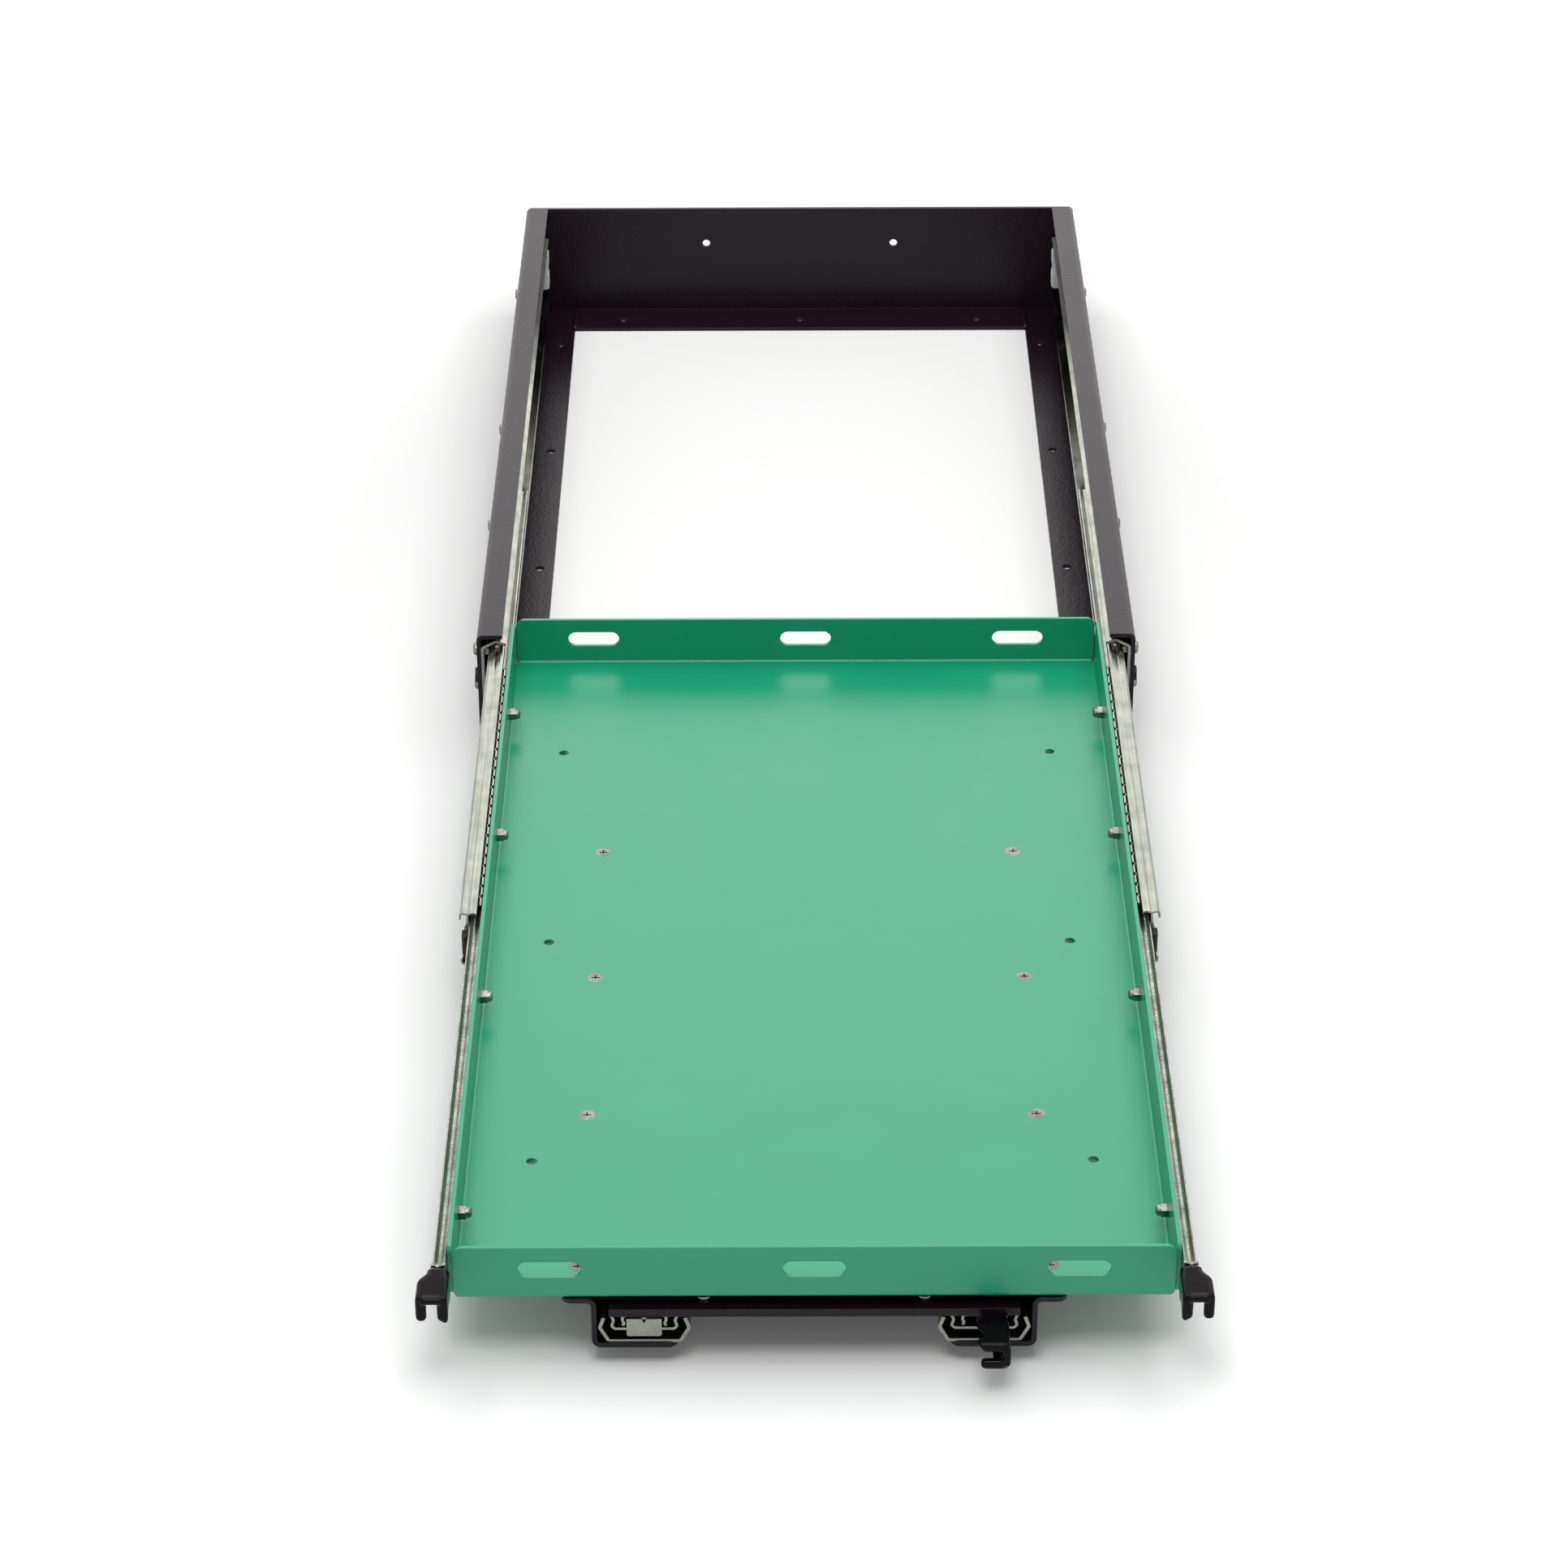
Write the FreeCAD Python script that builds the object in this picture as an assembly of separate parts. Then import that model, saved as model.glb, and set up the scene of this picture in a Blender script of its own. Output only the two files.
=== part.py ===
"""Fridge slide, shown pulled out: a steel base frame, a tray on two ball bearing
slides, and a stowed table on a second pair of slides under the tray.

Millimetres. +Z is up and Z = 0 is the floor under the base. -Y is the pull-out
direction. Y = 0 is the front end of the base, and X = 0 is the middle."""
import FreeCAD
import Part
import math
import os

V = FreeCAD.Vector

# Base frame
BASE_WIDTH = 460.0
BASE_LENGTH = 748.0
BASE_HEIGHT = 95.0
BASE_SHEET = 3.0
BASE_BEND = 1.5
TOP_FLANGE = 18.0
FOOT_FLANGE = 40.0
REAR_FOOT = 41.0
FRONT_STRAP = 40.0
FLOOR_HOLE = 7.0
FLOOR_HOLE_INSET = 29.5
FLOOR_HOLE_FROM_END = 74.0
FLOOR_HOLE_COUNT = 4
REAR_HOLE_FROM_SIDE = 80.5
REAR_HOLE_FROM_BACK = 24.0
CABLE_HOLE = 6.5
CABLE_HOLE_FROM_SIDE = 151.0
CABLE_HOLE_FROM_TOP = 31.5
WELD_WIDTH = 5.0
WELD_LENGTH = 30.0
WELD_HEIGHT = 1.6
NUB_RADIUS = 5.5
NUB_HEIGHT = 2.0
NUB_FROM_TOP = 35.0
NUB_FROM_END = 7.0

# Ball bearing slide in section: depths from its back face, halves from its middle
SLIDE_DEPTH = 19.5
SLIDE_HALF = 26.5
OUTER_WALL = 2.0
RAIL_WALL = 1.6
RAIL_BEND = 0.8
CAGE_WALL = 1.1
CAGE_GAP = 0.3
INNER_CAGE_WALL = 0.5
OUTER_CAGE_ROW = 2.1
OUTER_BACK_STEP = 5.5
OUTER_LIP_STEP = 2.3
OUTER_KNEE_STEP = 9.1
MIDDLE_STEP = 7.0
MIDDLE_WEB_STEP = 10.7
MIDDLE_LIP_STEP = 0.9
MIDDLE_WAIST = 1.2
MIDDLE_CORNER_STEP = 1.7
MIDDLE_TRACK_LOW = 2.0
MIDDLE_TRACK_HIGH = 5.8
INNER_STEP = 6.3
INNER_LIP_GAP = 1.0
INNER_FOOT_TILT = 0.4
INNER_WAIST = 0.9
INNER_TRACK_LOW = 2.2
INNER_TRACK_HIGH = 3.8
OUTER_CAGE_LIP_GAP = 0.8
INNER_CAGE_LIP_GAP = 0.5
RAIL_BOLT_STEP = 13.0

# Side slides: where the members end, from the ends of the base
SLIDE_TOP_GAP = 1.0
TRAY_REAR_GAP = 3.0
TRAY_OVERLAP = 45.0
RAIL_REAR_GAP = 51.0
BUFFER_LENGTH = 13.0
BUFFER_SIDE_GAP = 10.5
BUFFER_NEAR_GAP = 2.0
MIDDLE_FRONT_GAP = 4.5
MIDDLE_REAR_GAP = 17.5
INNER_REACH = 7.0
INNER_REAR_GAP = 4.0
OUTER_CAGE_FRONT = 20.0
OUTER_CAGE_REAR_GAP = 30.0
INNER_CAGE_FRONT_GAP = 14.0
BRIDGE_REACH = 6.0
BRIDGE_HALF = 12.5
BRIDGE_TOP_HALF = 8.0
BRIDGE_RISE = 3.5
BRIDGE_ROOT = 1.0
BUMPER_HALF = 7.0
BUMPER_REACH = 1.5
BUMPER_ROUND = 1.2
RAIL_BOLT_FIRST = 12.0
RAIL_BOLT_SECOND = 200.0
RAIL_BOLT_THIRD = 360.0
RAIL_BOLT_FROM_REAR = 87.0
TRAY_BOLT_FIRST = 61.0
TRAY_BOLT_SECOND = 287.0
TRAY_BOLT_THIRD = 217.0
TRAY_BOLT_LAST = 57.0

# Tray
TRAY_HEIGHT = 36.0
TRAY_ABOVE_SLIDE = 19.5
TRAY_SHEET = 2.5
TRAY_BEND = 1.5
LIP_CORNER_GAP = 0.5
LIP_CORNER = 6.0
LIP_LOW_CORNER = 6.0
LIP_INTO_FLOOR = 1.0
SLOT_LENGTH = 36.0
SLOT_HEIGHT = 11.0
SLOT_FROM_SIDE = 57.5
SLOT_FROM_TOP = 15.3
TIE_HOLE = 6.5
TIE_HOLE_FROM_SIDE = 41.0
TIE_HOLE_FROM_END = 131.0

# Brackets that carry the table slides under the tray
BRACKET_SHEET = 3.0
BRACKET_BEND = 2.5
BRACKET_REAR_GAP = 83.0
BRACKET_FROM_SIDE = 80.5
BRACKET_TOP_FLANGE = 17.0
BRACKET_FOOT_FLANGE = 49.3
BRACKET_CORNER = 6.0
BRACKET_SCREW_FROM_WEB = 8.3
BRACKET_SCREW_FROM_END = 178.5

# Table and its slides
TABLE_SLIDE_GAP = 0.6
TABLE_RAIL_INSET = 1.0
TABLE_RAIL_REAR_GAP = 58.0
TABLE_CAGE_LENGTH = 240.0
TABLE_SIDE_GAP = 7.0
TABLE_REACH = 1.5
TABLE_TAIL = 37.5
TABLE_SHEET = 2.5
TABLE_LIP = 5.1
TABLE_SPACER = 3.0
TABLE_HEADROOM = 6.5
END_TAB_WIDTH = 20.0
END_TAB_DROP = 12.0
END_TAB_NOTCH = 1.5
END_TAB_REACH = 2.5

# Hand levers
LEVER_SHEET = 3.0
LEVER_REACH = 28.0
LEVER_NECK = 9.0
LEVER_GAP = 3.5
LEVER_LEG = 14.5
LEVER_LEG_WIDTH = 5.0
LEVER_LEG_ROUND = 2.4
LEVER_NEAR_STEP = 1.9
LEVER_FAR_STEP = 15.7
LEVER_NECK_STEP = 9.5
LEVER_TOP_STEP = 0.6
LEVER_ROUND = 2.4
LEVER_ARCH_ROUND = 2.0
LEVER_BROW = 1.8
BLADE_STEP = 6.5
BLADE_SHEET = 2.5
BLADE_HALF = 4.5
BLADE_TAIL = 17.0
PIVOT_BACK = 32.0
PIVOT_RADIUS = 2.5
PIVOT_HEAD_RADIUS = 4.0
PIVOT_HEAD = 0.8
PIVOT_FIT = 0.05
COLLAR_RADIUS = 3.4
SPRING_WIRE = 0.8
SPRING_GAP = 0.3
SPRING_LEG = 10.0

# Fasteners
BOLT_RADIUS = 2.5
BOLT_FIT = 0.05
BOLT_CLEARANCE = 0.2
BUTTON_RADIUS = 4.6
BUTTON_HEIGHT = 3.2
BUTTON_ROUND = 1.92
SOCKET_FLATS = 3.0
SOCKET_DEPTH = 1.6
PAN_HEIGHT = 3.0
SINK_RADIUS = 5.2
SINK_HEIGHT = 2.3
RECESS_HALF = 2.6
RECESS_HALF_WIDTH = 0.5
RECESS_DEPTH = 1.2
NUT_FLATS = 8.0
NUT_HEIGHT = 4.0
THIN_NUT_HEIGHT = 3.0
CAP_NUT_BODY = 4.5
CAP_RADIUS = 3.4
CAP_DEPTH = 3.2
CAP_ROUND = 2.04
BOLT_TAIL = 1.2
SPACER_RADIUS = 5.0
TABLE_BOLT_COUNT = 4
TABLE_BOLT_FROM_FRONT = 76.0
TABLE_BOLT_FROM_REAR = 74.0
FRONT_BOLT_FROM_SIDE = 54.0
FRONT_BOLT_INSET = 12.0

# How far a cutter runs past the face it cuts through
CUT_PAST = 1.0

# How near an edge must lie to a place to be picked out for rounding
EDGE_MATCH = 0.01

# The slide's section worked out from the sizes above
OUTER_BACK_HALF = SLIDE_HALF - OUTER_BACK_STEP
OUTER_LIP_HALF = SLIDE_HALF - OUTER_LIP_STEP
OUTER_KNEE_DEPTH = SLIDE_DEPTH - OUTER_KNEE_STEP
OUTER_LIP_DEPTH = SLIDE_DEPTH - OUTER_LIP_STEP
MIDDLE_HALF = SLIDE_HALF - MIDDLE_STEP
MIDDLE_WEB_DEPTH = SLIDE_DEPTH - MIDDLE_WEB_STEP
MIDDLE_LIP_DEPTH = SLIDE_DEPTH - MIDDLE_LIP_STEP
INNER_HALF = MIDDLE_HALF - INNER_STEP
INNER_LIP_DEPTH = MIDDLE_WEB_DEPTH + RAIL_WALL + INNER_LIP_GAP
INNER_WEB_DEPTH = SLIDE_DEPTH - RAIL_WALL
OUTER_CAGE_LIP = OUTER_LIP_DEPTH - OUTER_CAGE_LIP_GAP
INNER_CAGE_LIP = INNER_WEB_DEPTH - INNER_CAGE_LIP_GAP
RAIL_BOLT_HALF = SLIDE_HALF - RAIL_BOLT_STEP
LEVER_NEAR_DEPTH = SLIDE_DEPTH + LEVER_NEAR_STEP
LEVER_FAR_DEPTH = SLIDE_DEPTH - LEVER_FAR_STEP
LEVER_NECK_FAR_DEPTH = SLIDE_DEPTH - LEVER_NECK_STEP
LEVER_TOP_HALF = INNER_HALF - LEVER_TOP_STEP
BLADE_DEPTH = SLIDE_DEPTH - BLADE_STEP

# Places worked out from the sizes above
WEB_INSIDE = BASE_WIDTH / 2 - BASE_SHEET
SLIDE_Z = BASE_HEIGHT - BASE_SHEET - SLIDE_TOP_GAP - SLIDE_HALF
REAR_HOLE_PITCH = BASE_WIDTH / 2 - REAR_HOLE_FROM_SIDE
CABLE_HOLE_HALF_PITCH = BASE_WIDTH / 2 - CABLE_HOLE_FROM_SIDE
CABLE_HOLE_HEIGHT = BASE_HEIGHT - CABLE_HOLE_FROM_TOP
SIDE_STROKE = BASE_LENGTH - BASE_SHEET - TRAY_REAR_GAP - TRAY_OVERLAP
TRAY_LENGTH = SIDE_STROKE + TRAY_OVERLAP
TRAY_WIDTH = 2 * (WEB_INSIDE - SLIDE_DEPTH)
TRAY_TOP = SLIDE_Z + TRAY_ABOVE_SLIDE
TRAY_UNDERSIDE = TRAY_TOP - TRAY_HEIGHT
TRAY_FLOOR_TOP = TRAY_UNDERSIDE + TRAY_SHEET
TRAY_REAR = TRAY_OVERLAP
TRAY_FRONT = TRAY_REAR - TRAY_LENGTH
TRAY_MIDDLE = TRAY_REAR - TRAY_LENGTH / 2
SLOT_PITCH = TRAY_WIDTH / 2 - SLOT_FROM_SIDE
TIE_HOLE_HALF_PITCH = TRAY_WIDTH / 2 - TIE_HOLE_FROM_SIDE
TIE_HOLE_STEP = TRAY_LENGTH / 2 - TIE_HOLE_FROM_END
OUTER_RAIL_LENGTH = BASE_LENGTH - RAIL_REAR_GAP
RAIL_RUN = OUTER_RAIL_LENGTH - BUFFER_LENGTH
MIDDLE_FRONT = MIDDLE_FRONT_GAP - SIDE_STROKE / 2
MIDDLE_RAIL_LENGTH = RAIL_RUN - MIDDLE_FRONT_GAP - MIDDLE_REAR_GAP
INNER_FRONT = TRAY_FRONT - INNER_REACH
INNER_RAIL_LENGTH = RAIL_RUN + INNER_REACH - INNER_REAR_GAP
SIDE_CAGE_LENGTH = MIDDLE_FRONT + MIDDLE_RAIL_LENGTH - OUTER_CAGE_FRONT - OUTER_CAGE_REAR_GAP
INNER_CAGE_FRONT = MIDDLE_FRONT + INNER_CAGE_FRONT_GAP
RAIL_BOLT_ROWS = (RAIL_BOLT_FIRST, RAIL_BOLT_SECOND, RAIL_BOLT_THIRD, OUTER_RAIL_LENGTH - RAIL_BOLT_FROM_REAR)
TRAY_BOLT_ROWS = (TRAY_FRONT + TRAY_BOLT_FIRST, TRAY_FRONT + TRAY_BOLT_SECOND, -TRAY_BOLT_THIRD, -TRAY_BOLT_LAST)
BRACKET_LENGTH = TRAY_LENGTH - BRACKET_REAR_GAP
BRACKET_MIDDLE_Y = TRAY_FRONT + BRACKET_LENGTH / 2
BRACKET_WEB_HALF = TRAY_WIDTH / 2 - BRACKET_FROM_SIDE
BRACKET_DROP = BRACKET_SHEET + SLIDE_DEPTH + TABLE_SPACER + TABLE_SHEET + TABLE_HEADROOM
BRACKET_BOTTOM = TRAY_UNDERSIDE - BRACKET_DROP
BRACKET_SCREW_HALF_PITCH = BRACKET_WEB_HALF + BRACKET_SCREW_FROM_WEB
BRACKET_SCREW_STEP = BRACKET_LENGTH / 2 - BRACKET_SCREW_FROM_END
TABLE_SLIDE_Z = BRACKET_BOTTOM + BRACKET_SHEET
TABLE_SLIDE_X = BRACKET_WEB_HALF - BRACKET_SHEET - TABLE_SLIDE_GAP - SLIDE_HALF
TABLE_RAIL_FRONT = TRAY_FRONT + TABLE_RAIL_INSET
TABLE_RAIL_LENGTH = BRACKET_LENGTH - TABLE_RAIL_INSET - TABLE_RAIL_REAR_GAP
TABLE_WIDTH = 2 * (BRACKET_WEB_HALF - BRACKET_SHEET - TABLE_SIDE_GAP)
TABLE_FRONT = TRAY_FRONT - TABLE_REACH
TABLE_LENGTH = TABLE_RAIL_FRONT - TABLE_FRONT + TABLE_RAIL_LENGTH + TABLE_TAIL
TABLE_TOP = TABLE_SLIDE_Z + SLIDE_DEPTH + TABLE_SPACER + TABLE_SHEET
FRONT_BOLT_HALF_PITCH = TABLE_WIDTH / 2 - FRONT_BOLT_FROM_SIDE
SIDES = (("left", -1), ("right", 1))


def save(name, shape):
    """Write one piece, or one group of like pieces, as a STEP file."""
    shape.exportStep(os.path.join("parts", name + ".step"))


def box(x0, x1, y0, y1, z0, z1):
    """A block between two corners given in any order."""
    low = V(min(x0, x1), min(y0, y1), min(z0, z1))
    return Part.makeBox(abs(x1 - x0), abs(y1 - y0), abs(z1 - z0), low)


def rod(radius, start, end):
    """A round bar between two points."""
    axis = end - start
    return Part.makeCylinder(radius, axis.Length, start, axis)


def corner(before, at, after, radius):
    """The start, middle and end of the arc that rounds one corner of an outline."""
    back = (before - at).normalize()
    ahead = (after - at).normalize()
    half = back.getAngle(ahead) / 2
    run = radius / math.tan(half)
    middle = (back + ahead).normalize() * (radius / math.sin(half))
    centre = at + middle
    nearest = centre - (middle * (1 / middle.Length)) * radius
    return at + back * run, nearest, at + ahead * run


def outline_face(points, radii):
    """A flat face inside an outline whose corners are rounded by their radii."""
    edges = []
    last = None
    first = None
    count = len(points)
    for i in range(count):
        if radii[i] > 0:
            start, middle, end = corner(points[i - 1], points[i], points[(i + 1) % count], radii[i])
        else:
            start, middle, end = points[i], None, points[i]
        if last is None:
            first = start
        else:
            edges.append(Part.LineSegment(last, start).toShape())
        if middle is not None:
            edges.append(Part.Arc(start, middle, end).toShape())
        last = end
    edges.append(Part.LineSegment(last, first).toShape())
    return Part.Face(Part.Wire(edges))


def side_of(path, i, distance):
    """The point beside path point i, at a distance to the left of the path."""
    up = V(0, 1, 0)
    normals = []
    if i > 0:
        normals.append(up.cross((path[i] - path[i - 1]).normalize()))
    if i < len(path) - 1:
        normals.append(up.cross((path[i + 1] - path[i]).normalize()))
    if len(normals) == 1:
        return path[i] + normals[0] * distance
    total = normals[0] + normals[1]
    return path[i] + total * (2 * distance / total.dot(total))


def folded_sheet(path, thickness, bend, y0, length):
    """A sheet folded along a path of (x, z) points, run along Y.

    The path is the middle of the sheet, and bend is the radius inside each fold."""
    nodes = [V(x, y0, z) for x, z in path]
    left = [side_of(nodes, i, thickness / 2) for i in range(len(nodes))]
    right = [side_of(nodes, i, -thickness / 2) for i in range(len(nodes))]
    left_radii = [0.0] * len(nodes)
    right_radii = [0.0] * len(nodes)
    for i in range(1, len(nodes) - 1):
        turn = (nodes[i] - nodes[i - 1]).cross(nodes[i + 1] - nodes[i]).y
        left_radii[i] = bend if turn > 0 else bend + thickness
        right_radii[i] = bend + thickness if turn > 0 else bend
    outline = left + right[::-1]
    face = outline_face(outline, left_radii + right_radii[::-1])
    return face.extrude(V(0, length, 0))


def place_side(shape, side):
    """Turn a slide piece made flat so that its back lies against a base web."""
    turned = shape.copy()
    turned.rotate(V(0, 0, 0), V(0, 1, 0), -90 * side)
    turned.translate(V(side * WEB_INSIDE, 0, SLIDE_Z))
    return turned


def place_table(shape, side):
    """Put a slide piece made flat on a bracket's foot."""
    moved = shape.copy()
    moved.translate(V(side * TABLE_SLIDE_X, 0, TABLE_SLIDE_Z))
    return moved


def hexagon(flats, height):
    """A hexagonal bar standing on Z = 0."""
    reach = flats / math.sqrt(3)
    corners = [V(reach * math.cos(math.pi * k / 3), reach * math.sin(math.pi * k / 3), 0) for k in range(6)]
    return Part.Face(Part.makePolygon(corners + corners[:1])).extrude(V(0, 0, height))


def hex_nut(height, bore):
    """A hexagon nut standing on Z = 0, with a bore right through."""
    return hexagon(NUT_FLATS, height).cut(Part.makeCylinder(bore, height))


def cap_nut():
    """A dome-ended nut standing on Z = 0, with a blind bore."""
    body = hex_nut(CAP_NUT_BODY, BOLT_RADIUS + BOLT_FIT)
    dome = Part.makeCylinder(CAP_RADIUS, CAP_DEPTH, V(0, 0, CAP_NUT_BODY))
    rim = [e for e in dome.Edges if e.BoundBox.ZMin > CAP_NUT_BODY + CAP_DEPTH / 2 and e.Closed]
    dome = dome.makeFillet(CAP_ROUND, rim)
    return body.fuse(dome)


def button_bolt(shank):
    """A bolt with a low domed head on Z = 0, a hexagon socket, and its shank pointing down."""
    head = Part.makeCylinder(BUTTON_RADIUS, BUTTON_HEIGHT)
    rim = [e for e in head.Edges if e.BoundBox.ZMin > BUTTON_HEIGHT / 2 and e.Closed]
    head = head.makeFillet(BUTTON_ROUND, rim)
    socket = hexagon(SOCKET_FLATS, SOCKET_DEPTH + CUT_PAST)
    socket.translate(V(0, 0, BUTTON_HEIGHT - SOCKET_DEPTH))
    head = head.cut(socket)
    return head.fuse(Part.makeCylinder(BOLT_RADIUS, shank, V(0, 0, -shank)))


def pan_bolt(shank):
    """A bolt with a plain flat head on Z = 0 and its shank pointing down."""
    head = Part.makeCylinder(BUTTON_RADIUS, PAN_HEIGHT)
    return head.fuse(Part.makeCylinder(BOLT_RADIUS, shank, V(0, 0, -shank)))


def sunk_bolt(shank):
    """A countersunk bolt whose flat top is at Z = 0."""
    head = Part.makeCone(BOLT_RADIUS, SINK_RADIUS, SINK_HEIGHT, V(0, 0, -SINK_HEIGHT))
    long = RECESS_HALF
    thin = RECESS_HALF_WIDTH
    recess = box(-long, long, -thin, thin, -RECESS_DEPTH, CUT_PAST)
    recess = recess.fuse(box(-thin, thin, -long, long, -RECESS_DEPTH, CUT_PAST))
    return head.fuse(Part.makeCylinder(BOLT_RADIUS, shank, V(0, 0, -shank))).cut(recess)


def sunk_hole(top, depth):
    """What a countersunk bolt's hole takes out below the point at its top."""
    hole = rod(BOLT_RADIUS + BOLT_CLEARANCE, top - V(0, 0, depth), top)
    narrow = BOLT_RADIUS + BOLT_FIT
    sink = Part.makeCone(narrow, SINK_RADIUS + BOLT_FIT, SINK_HEIGHT, top - V(0, 0, SINK_HEIGHT))
    return hole.fuse(sink)


def set_at(shape, place, direction):
    """Move a fastener so that its +Z points along a direction from a place."""
    moved = shape.copy()
    turn = FreeCAD.Rotation(V(0, 0, 1), direction)
    moved.Placement = FreeCAD.Placement(place, turn)
    return moved


def slot_cutter(x, z, y0, y1):
    """A round-ended bar that cuts a slot through a lip."""
    run = SLOT_LENGTH / 2 - SLOT_HEIGHT / 2
    bar = box(x - run, x + run, y0, y1, z - SLOT_HEIGHT / 2, z + SLOT_HEIGHT / 2)
    for end in (-run, run):
        bar = bar.fuse(rod(SLOT_HEIGHT / 2, V(x + end, y0, z), V(x + end, y1, z)))
    return bar


def rail_bolt_points():
    """Where the outer rail is bolted to a base web, as (y, z)."""
    return [(y, SLIDE_Z + half) for y in RAIL_BOLT_ROWS for half in (-RAIL_BOLT_HALF, RAIL_BOLT_HALF)]


def floor_hole_rows():
    """The Y places of the bolt holes in a base foot."""
    pitch = (BASE_LENGTH - 2 * FLOOR_HOLE_FROM_END) / (FLOOR_HOLE_COUNT - 1)
    return [FLOOR_HOLE_FROM_END + i * pitch for i in range(FLOOR_HOLE_COUNT)]


def base_channel(side):
    """One folded side of the base: top flange, web and foot."""
    outside = BASE_WIDTH / 2 - BASE_SHEET / 2
    path = [
        (side * (BASE_WIDTH / 2 - TOP_FLANGE), BASE_HEIGHT - BASE_SHEET / 2),
        (side * outside, BASE_HEIGHT - BASE_SHEET / 2),
        (side * outside, BASE_SHEET / 2),
        (side * (BASE_WIDTH / 2 - FOOT_FLANGE), BASE_SHEET / 2),
    ]
    shape = folded_sheet(path, BASE_SHEET, BASE_BEND, 0, BASE_LENGTH)
    hole_x = side * (BASE_WIDTH / 2 - FLOOR_HOLE_INSET)
    for y in floor_hole_rows():
        shape = shape.cut(rod(FLOOR_HOLE / 2, V(hole_x, y, -CUT_PAST), V(hole_x, y, BASE_SHEET + CUT_PAST)))
    for y, z in rail_bolt_points():
        start = V(side * (WEB_INSIDE - CUT_PAST), y, z)
        end = V(side * (BASE_WIDTH / 2 + CUT_PAST), y, z)
        shape = shape.cut(rod(BOLT_RADIUS + BOLT_CLEARANCE, start, end))
    nub_z = BASE_HEIGHT - NUB_FROM_TOP
    nub_end = V(side * (BASE_WIDTH / 2 + NUB_HEIGHT), NUB_FROM_END, nub_z)
    nub = rod(NUB_RADIUS, V(side * outside, NUB_FROM_END, nub_z), nub_end)
    return shape.fuse(nub).removeSplitter()


def base_rear_panel():
    """The rear wall of the base with its foot, between the two webs."""
    half = WEB_INSIDE
    wall = box(-half, half, BASE_LENGTH - BASE_SHEET, BASE_LENGTH, BASE_SHEET, BASE_HEIGHT - BASE_SHEET)
    foot_half = BASE_WIDTH / 2 - FOOT_FLANGE
    foot = box(-foot_half, foot_half, BASE_LENGTH - REAR_FOOT, BASE_LENGTH, 0, BASE_SHEET)
    top_half = BASE_WIDTH / 2 - TOP_FLANGE
    top = box(-top_half, top_half, BASE_LENGTH - BASE_SHEET, BASE_LENGTH,
              BASE_HEIGHT - BASE_SHEET, BASE_HEIGHT)
    shape = wall.fuse([foot, top]).removeSplitter()
    back_edge = [e for e in shape.Edges if e.BoundBox.ZMax < EDGE_MATCH
                 and e.BoundBox.YMin > BASE_LENGTH - EDGE_MATCH]
    shape = shape.makeFillet(BASE_BEND, back_edge)
    for x in (-REAR_HOLE_PITCH, 0, REAR_HOLE_PITCH):
        y = BASE_LENGTH - REAR_HOLE_FROM_BACK
        shape = shape.cut(rod(FLOOR_HOLE / 2, V(x, y, -CUT_PAST), V(x, y, BASE_SHEET + CUT_PAST)))
    for x in (-CABLE_HOLE_HALF_PITCH, CABLE_HOLE_HALF_PITCH):
        start = V(x, BASE_LENGTH - BASE_SHEET - CUT_PAST, CABLE_HOLE_HEIGHT)
        shape = shape.cut(rod(CABLE_HOLE / 2, start, start + V(0, BASE_SHEET + 2 * CUT_PAST, 0)))
    return shape


def base_front_strap():
    """The flat bar that ties the two feet together at the front."""
    half = BASE_WIDTH / 2 - FOOT_FLANGE
    return box(-half, half, 0, FRONT_STRAP, 0, BASE_SHEET)


def weld_bead(x, y0):
    """A low rounded bead laid along Y on top of the feet."""
    half = WELD_WIDTH / 2
    rise = V(0, 0, WELD_HEIGHT)
    start = V(x - half, y0, BASE_SHEET)
    end = V(x + half, y0, BASE_SHEET)
    arc = Part.Arc(start, V(x, y0, BASE_SHEET) + rise, end).toShape()
    chord = Part.LineSegment(end, start).toShape()
    return Part.Face(Part.Wire([arc, chord])).extrude(V(0, WELD_LENGTH, 0))


def weld_beads():
    """Beads where the rear foot and the front strap meet the side feet."""
    x = BASE_WIDTH / 2 - FOOT_FLANGE
    rear = BASE_LENGTH - REAR_FOOT
    front = (FRONT_STRAP - WELD_LENGTH) / 2
    return Part.makeCompound([weld_bead(s * x, y) for s in (-1, 1) for y in (rear, front)])


def outer_rail(y0, length):
    """The outer member: a channel with sloping sides and turned-in lips."""
    half = OUTER_WALL / 2
    path = [
        (-OUTER_LIP_HALF + half, OUTER_LIP_DEPTH),
        (-SLIDE_HALF + half, OUTER_KNEE_DEPTH),
        (-OUTER_BACK_HALF + half / 2, half),
        (OUTER_BACK_HALF - half / 2, half),
        (SLIDE_HALF - half, OUTER_KNEE_DEPTH),
        (OUTER_LIP_HALF - half, OUTER_LIP_DEPTH),
    ]
    return folded_sheet(path, OUTER_WALL, RAIL_BEND, y0, length)


def mirrored(path):
    """A path of (x, z) points followed by its own mirror image."""
    return path + [(-x, z) for x, z in path[::-1]]


def middle_rail(y0, length):
    """The middle member: a channel, open like the outer one, with a ball track along each side."""
    half = RAIL_WALL / 2
    side = MIDDLE_HALF - half
    web = MIDDLE_WEB_DEPTH + half
    path = [
        (-side, MIDDLE_LIP_DEPTH),
        (-side + MIDDLE_WAIST, web + MIDDLE_TRACK_HIGH),
        (-side, web + MIDDLE_TRACK_LOW),
        (-side + MIDDLE_CORNER_STEP, web),
    ]
    return folded_sheet(mirrored(path), RAIL_WALL, RAIL_BEND, y0, length)


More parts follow.
